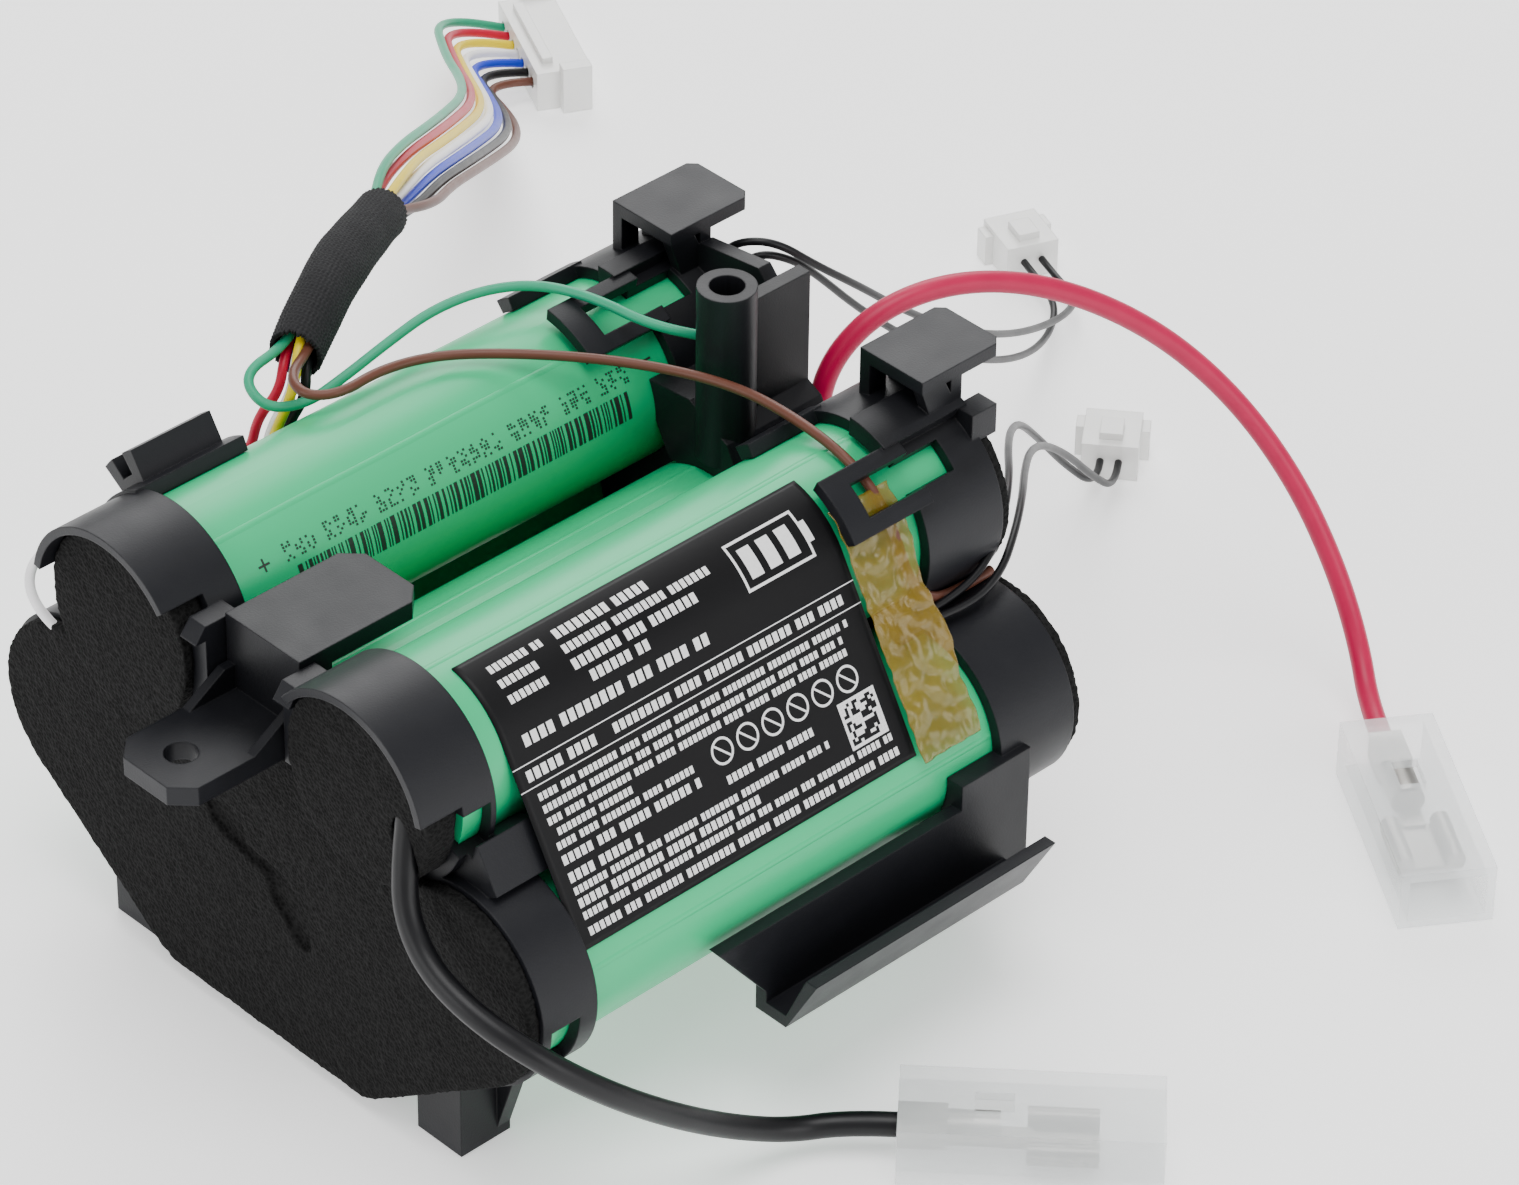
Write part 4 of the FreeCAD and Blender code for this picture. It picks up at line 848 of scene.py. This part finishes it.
class PackHarness(Operator):
    """The seven tap wires in their woven sleeve, with the seven-way connector"""
    bl_idname = "battery_pack.harness"
    bl_label = "Balance harness"

    def execute(self, context):
        values = context.scene.pack_leads
        dress("harness_connector", nylon("connector nylon", (0.82, 0.82, 0.80), 1.0, 0.30))
        dress("harness_contacts", bright_metal("contact plating", (0.75, 0.74, 0.70), 0.22))
        sleeve = self.sleeve(values.sleeve_width / MM / 2)
        for colour in TAP_ORDER:
            lead("tap_wire_" + colour, tap_route(colour), values.tap_width / MM,
                 insulation(WIRE_COLOURS[colour], colour))
        return {"FINISHED"}

    def sleeve(self, radius):
        """The woven sleeve: a ribbed, slightly slack tube with cut ends."""
        line = evened(traced(SLEEVE_ROUTE), 0.16)
        stations = framed(line, FAN_SIDE)
        around = 144
        wall = 0.36
        chance = random.Random(7)
        teeth = [chance.uniform(-0.28, 0.28) for _ in range(around)]
        points = []
        for layer in (0, 1):
            for index, (point, ahead, side, lift) in enumerate(stations):
                share = index / (len(stations) - 1)
                for turn in range(around):
                    angle = 2 * math.pi * turn / around
                    rib = 0.055 * math.sin(36 * angle + 0.9 * math.sin(index * 0.8))
                    knit = 0.035 * math.sin(index * 2.1 + 3 * angle)
                    slack = 0.10 * math.sin(2 * angle + 5 * share)
                    slack += 0.12 * noise.noise(Vector((share * 5, math.cos(angle),
                                                        math.sin(angle))))
                    reach = radius - 0.18 + slack + (rib + knit if layer == 0 else -wall)
                    cut = teeth[turn] * (abs(2 * share - 1) ** 24)
                    points.append(point + ahead * cut
                                  + side * (reach * math.cos(angle) * 1.04)
                                  + lift * (reach * math.sin(angle) * 0.94))
        rows = len(stations)
        inner = rows * around
        faces = []
        for index in range(rows - 1):
            for turn in range(around):
                a = index * around + turn
                b = index * around + (turn + 1) % around
                faces.append((a, b, b + around, a + around))
                faces.append((inner + a, inner + a + around, inner + b + around, inner + b))
        for start in (0, (rows - 1) * around):
            for turn in range(around):
                a = start + turn
                b = start + (turn + 1) % around
                quad = (a, inner + a, inner + b, b)
                faces.append(quad if start == 0 else quad[::-1])
        body = mesh_piece("woven_sleeve", points, faces, braid_yarn())
        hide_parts("harness_sleeve")
        return body


class PackCaps(Operator):
    """Finish of the two moulded end caps"""
    bl_idname = "battery_pack.caps"
    bl_label = "End caps"

    def execute(self, context):
        black = moulded_black(tuple(context.scene.pack_caps.plastic_colour))
        for node in ("front_cap", "rear_cap"):
            dress(node, black)
        return {"FINISHED"}


class PackCells(Operator):
    """Finish of the cells and their shrink sleeves, with seams and print"""
    bl_idname = "battery_pack.cells"
    bl_label = "Cells"

    def execute(self, context):
        values = context.scene.pack_cells
        film = shrink_film(tuple(values.film_colour))
        can = bright_metal("nickel plated can", (0.62, 0.62, 0.61), 0.24)
        for number in range(1, 8):
            dress("cell_%d" % number, can)
            dress("cell_sleeve_%d" % number, film)
        dress("insulator_rings", plain_card())
        self.seams(film, values.seam_height / MM)
        self.print(values.ink_lift / MM)
        return {"FINISHED"}

    def seams(self, film, height):
        """The film's lengthwise seams: low rounded ridges."""
        points = []
        faces = []
        columns = 40
        section = [(-0.34, 0.0), (-0.17, 0.75), (0.0, 1.0), (0.17, 0.75), (0.34, 0.0)]
        for number, angle in ((1, 1.0), (6, 30.0), (7, -12.0), (2, 75.0), (5, -60.0)):
            start, end = CELL_SPAN[number]
            base = len(points)
            for index in range(columns + 1):
                x = start + 0.6 + (end - start - 1.2) * index / columns
                sway = 1.2 * noise.noise(Vector((x * 0.06, number, 0)))
                for across, rise in section:
                    turn = angle + sway + math.degrees(across / SLEEVE_RADIUS)
                    points.append(cell_point(number, x, turn, height * rise - 0.005))
            for index in range(columns):
                for step in range(4):
                    a = base + 5 * index + step
                    faces.append((a, a + 5, a + 6, a + 1))
        mesh_piece("sleeve_seams", points, faces, film)

    def print(self, lift):
        """Plain marks on the cells: dot rows, stripes and polarity signs."""
        radius = SLEEVE_RADIUS
        chance = random.Random(21)
        marks = Print(lambda u, v: cell_point(6, u, math.degrees(v / radius), lift))

        def arc(angle):
            return math.radians(angle) * radius

        u = -19.0
        while u < 23.4:
            for _ in range(chance.choice((3, 4, 7))):
                for column in range(3):
                    for row in range(6):
                        if chance.random() < 0.52:
                            left = u + column * 0.34
                            top = arc(48.6) + row * 0.31
                            marks.bar(left, top, left + 0.24, top + 0.22)
                u += 1.34
                if u > 23.4:
                    break
            u += 0.9
        u = -18.2
        while u < 22.6:
            width = chance.choice((0.16, 0.16, 0.26, 0.42, 0.55))
            marks.bar(u, arc(64.0), u + width, arc(81.5))
            u += width + chance.choice((0.16, 0.22, 0.36))
        for sign, x, angle in (("plus", -21.5, 55.0), ("minus", 26.1, 52.5)):
            v = arc(angle)
            marks.bar(x - 0.65, v - 0.11, x + 0.65, v + 0.11)
            if sign == "plus":
                marks.bar(x - 0.11, v - 0.65, x + 0.11, v + 0.65)
        black = ink("black ink", (0.010, 0.016, 0.012))
        marks.piece("cell_print", black, "black_insulation")
        sign = Print(lambda u, v: cell_point(2, u, math.degrees(v / radius), lift))
        v = arc(22.6)
        sign.bar(-21.35, v - 0.09, -20.05, v + 0.09)
        sign.bar(-20.79, v - 0.65, -20.61, v + 0.65)
        sign.piece("polarity_mark", black, "black_insulation")


class PackLinks(Operator):
    """Finish of the nickel links and tabs"""
    bl_idname = "battery_pack.links"
    bl_label = "Nickel links"

    def execute(self, context):
        nickel = bright_metal("nickel strip", (0.70, 0.68, 0.63), 0.26)
        for node in ("front_link_2_3", "front_link_4_5", "front_link_6_7", "rear_link_1_2",
                     "rear_link_3_4", "rear_link_5_6", "negative_tab", "positive_tab"):
            dress(node, nickel)
        return {"FINISHED"}


class PackFoam(Operator):
    """The two open-cell foam pads over the end plates"""
    bl_idname = "battery_pack.foam"
    bl_label = "Foam pads"

    def execute(self, context):
        values = context.scene.pack_caps
        finish = open_foam()
        for node in ("front_foam_pad", "rear_foam_pad"):
            self.pad(context, node, finish, values)
        return {"FINISHED"}

    def pad(self, context, node, finish, values):
        """One pad: the frame's outline, softened at its cut edges and roughened."""
        outline = NODES[node].data.copy()
        outline.transform(Matrix.Scale(1 / MM, 4))
        body = bpy.data.objects.new(node + "_soft", outline)
        context.collection.objects.link(body)
        rebuilt = body.modifiers.new("rebuild", "REMESH")
        rebuilt.mode = "VOXEL"
        rebuilt.voxel_size = values.foam_voxel / MM
        rebuilt.use_smooth_shade = True
        softened = body.modifiers.new("soften", "SMOOTH")
        softened.factor = 0.5
        softened.iterations = 2
        graph = context.evaluated_depsgraph_get()
        mesh = bpy.data.meshes.new_from_object(body.evaluated_get(graph))
        body.modifiers.clear()
        body.data = mesh
        depth = values.foam_grain / MM
        outward = [vertex.normal.copy() for vertex in mesh.vertices]
        for vertex, away in zip(mesh.vertices, outward):
            rough = noise.noise(vertex.co * 1.9) + 0.6 * noise.noise(vertex.co * 0.45)
            vertex.co += away * (depth * (rough - 0.5))
        mesh.transform(Matrix.Scale(MM, 4))
        settle(body, finish)
        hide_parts(node)


class PackLabel(Operator):
    """The rating label with plain marks in place of its print"""
    bl_idname = "battery_pack.label"
    bl_label = "Label"

    def execute(self, context):
        values = context.scene.pack_label
        low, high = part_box("rating_label")
        self.start = low[0] / MM
        self.length = (high[0] - low[0]) / MM
        self.bend = math.radians(50) * SLEEVE_RADIUS
        first, second = CELL_AXIS[1], CELL_AXIS[2]
        self.flat = math.hypot(first[0] - second[0], first[1] - second[1])
        self.depth = self.bend + self.flat + math.radians(2) * SLEEVE_RADIUS
        columns, rows = 60, 58
        points = []
        for lift in (0.15, 0.01):
            for i in range(columns):
                for j in range(rows):
                    points.append(self.spot(self.length * i / (columns - 1),
                                            self.depth * j / (rows - 1), lift))
        film = mesh_piece("label_film", points, slab_faces(columns, rows),
                          label_film(tuple(values.film_colour)))
        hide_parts("rating_label")
        self.print(ink("white ink", tuple(values.ink_colour)))
        return {"FINISHED"}

    def spot(self, u, v, lift):
        """A point of the label: u along the cells, v down from its upper edge."""
        x = self.start + u
        if v < self.bend:
            return cell_point(1, x, 10 + math.degrees(v / SLEEVE_RADIUS), lift)
        past = v - self.bend
        if past > self.flat:
            return cell_point(2, x, 60 + math.degrees((past - self.flat) / SLEEVE_RADIUS), lift)
        upper = Vector(cell_point(1, x, 60, lift))
        return tuple(upper.lerp(Vector(cell_point(2, x, 60, lift)), past / self.flat))

    def print(self, white):
        """Plain rows, rules, rings and a block of squares."""
        chance = random.Random(5)
        marks = Print(lambda u, v: self.spot(u, v, 0.165))
        for v, u0, u1, height in (
            (2.0, 2.6, 9.2, 0.8), (2.0, 10.4, 21.6, 1.0), (3.6, 2.6, 7.6, 0.8),
            (3.6, 10.2, 28.6, 0.85), (5.2, 2.6, 7.2, 0.8), (5.2, 10.2, 25.8, 1.0),
            (6.8, 11.4, 18.4, 1.0), (9.0, 2.2, 24.6, 1.15), (12.05, 1.2, 9.8, 1.05),
            (12.05, 11.6, 40.8, 0.95), (14.2, 1.6, 40.0, 0.70), (15.4, 1.6, 39.0, 0.70),
            (16.6, 1.6, 38.6, 0.70), (17.8, 2.2, 11.6, 0.70), (19.0, 1.6, 18.4, 0.70),
            (20.4, 1.6, 19.0, 0.90), (22.1, 1.6, 10.6, 0.95), (21.6, 21.2, 32.4, 0.8),
            (23.4, 1.6, 33.6, 0.70), (24.6, 1.6, 24.0, 0.85), (25.8, 1.6, 40.2, 0.70),
            (27.3, 1.6, 40.6, 0.80),
        ):
            marks.block_row(u0, v, u1, height, chance)
        marks.bar(0.0, 10.9, self.length, 11.0)
        marks.bar(0.0, 13.1, self.length, 13.2)
        for index in range(6):
            u = 21.8 + index * 3.15
            marks.ring(u, 18.9, 1.3, 0.24)
            marks.stroke(u - 0.8, 18.1, u + 0.8, 19.7, 0.2)
        self.emblem(marks)
        self.squares(marks, chance)
        body = marks.piece("label_print", white, "white_card")
        return body

    def emblem(self, marks):
        """A plain picture of a cell with three bars."""
        u, v, wide, high = 30.6, 2.4, 8.2, 4.6
        for u0, v0, u1, v1 in ((u, v, u + wide, v + 0.28), (u, v + high, u + wide, v + high + 0.28),
                               (u, v, u + 0.28, v + high), (u + wide, v, u + wide + 0.28, v + high + 0.28),
                               (u + wide + 0.28, v + 1.4, u + wide + 0.9, v + high - 1.1)):
            marks.bar(u0, v0, u1, v1)
        for index in range(3):
            left = u + 1.0 + index * 2.3
            marks.bar(left, v + 0.95, left + 1.5, v + high - 0.65)

    def squares(self, marks, chance):
        """A block of scattered small squares in a white frame."""
        left, top, count, size = 35.4, 20.6, 14, 0.33
        for i in range(count):
            for j in range(count):
                edge = i in (0, count - 1) or j in (0, count - 1)
                if edge or chance.random() < 0.52:
                    u = left + i * size
                    v = top + j * size
                    marks.bar(u, v, u + size * 0.98, v + size * 0.98)


class PackTape(Operator):
    """The creased amber tape that holds the brown wire down"""
    bl_idname = "battery_pack.tape"
    bl_label = "Holding tape"

    def execute(self, context):
        values = context.scene.pack_label
        low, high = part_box("holding_tape")
        start, length = low[0] / MM, (high[0] - low[0]) / MM
        bend = math.radians(22) * SLEEVE_RADIUS
        first, second = CELL_AXIS[1], CELL_AXIS[2]
        flat = math.hypot(first[0] - second[0], first[1] - second[1])
        depth = bend + flat + math.radians(6) * SLEEVE_RADIUS
        columns, rows = 44, 110
        points = []
        for skin in (0.08, 0.0):
            for i in range(columns):
                for j in range(rows):
                    share = i / (columns - 1)
                    v = depth * j / (rows - 1)
                    x = start + length * share
                    crease = noise.noise(Vector((share * 2.6, v * 0.42, 2.0)))
                    crease = abs(crease) * 1.6 - 0.4
                    crease += 0.6 * noise.noise(Vector((share * 7, v * 0.8, 7.0)))
                    lift = 1.12 + 0.38 * crease + skin
                    edge = 1.1 * noise.noise(Vector((v * 0.16, 4.0, 0.0)))
                    x += edge * share - 0.2
                    if v < bend:
                        spot = cell_point(1, x, 38 + math.degrees(v / SLEEVE_RADIUS), lift)
                    elif v < bend + flat:
                        upper = Vector(cell_point(1, x, 60, lift))
                        spot = tuple(upper.lerp(Vector(cell_point(2, x, 60, lift)),
                                                (v - bend) / flat))
                    else:
                        spot = cell_point(2, x, 60 + math.degrees(
                            (v - bend - flat) / SLEEVE_RADIUS), lift)
                    points.append(spot)
        film = mesh_piece("creased_tape", points, slab_faces(columns, rows),
                          amber_film(tuple(values.tape_colour), values.tape_clearness))
        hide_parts("holding_tape")
        return {"FINISHED"}


class PackPanel(Panel):
    """The pack's pieces and settings, in the sidebar"""
    bl_idname = "BATTERY_PT_pack"
    bl_label = "Battery pack"
    bl_space_type = "VIEW_3D"
    bl_region_type = "UI"
    bl_category = "Battery pack"

    def draw(self, context):
        for operator in OPERATORS:
            self.layout.operator(operator.bl_idname)
        for name, group in SETTINGS.items():
            box = self.layout.box()
            for setting in group.__annotations__:
                box.prop(getattr(context.scene, name), setting)


SETTINGS = {
    "pack_stage": PackStageSettings, "pack_cells": PackCellSettings,
    "pack_caps": PackCapSettings, "pack_label": PackLabelSettings,
    "pack_leads": PackLeadSettings,
}
OPERATORS = (PackStage, PackPowerLeads, PackSenseLeads, PackHarness, PackCaps, PackCells,
             PackLinks, PackFoam, PackLabel, PackTape)


def register():
    """Registers the settings, the operators and the panel."""
    for name, group in SETTINGS.items():
        bpy.utils.register_class(group)
        setattr(bpy.types.Scene, name, PointerProperty(type=group))
    for kind in OPERATORS + (PackPanel,):
        bpy.utils.register_class(kind)


def unregister():
    """Takes them away again."""
    for kind in reversed(OPERATORS + (PackPanel,)):
        bpy.utils.unregister_class(kind)
    for name, group in reversed(SETTINGS.items()):
        delattr(bpy.types.Scene, name)
        bpy.utils.unregister_class(group)


def main():
    """Builds every piece in order."""
    register()
    bpy.ops.battery_pack.stage()
    bpy.ops.battery_pack.power_leads()
    bpy.ops.battery_pack.sense_leads()
    bpy.ops.battery_pack.harness()
    bpy.ops.battery_pack.caps()
    bpy.ops.battery_pack.cells()
    bpy.ops.battery_pack.links()
    bpy.ops.battery_pack.foam()
    bpy.ops.battery_pack.label()
    bpy.ops.battery_pack.tape()


if __name__ == "__main__":
    main()
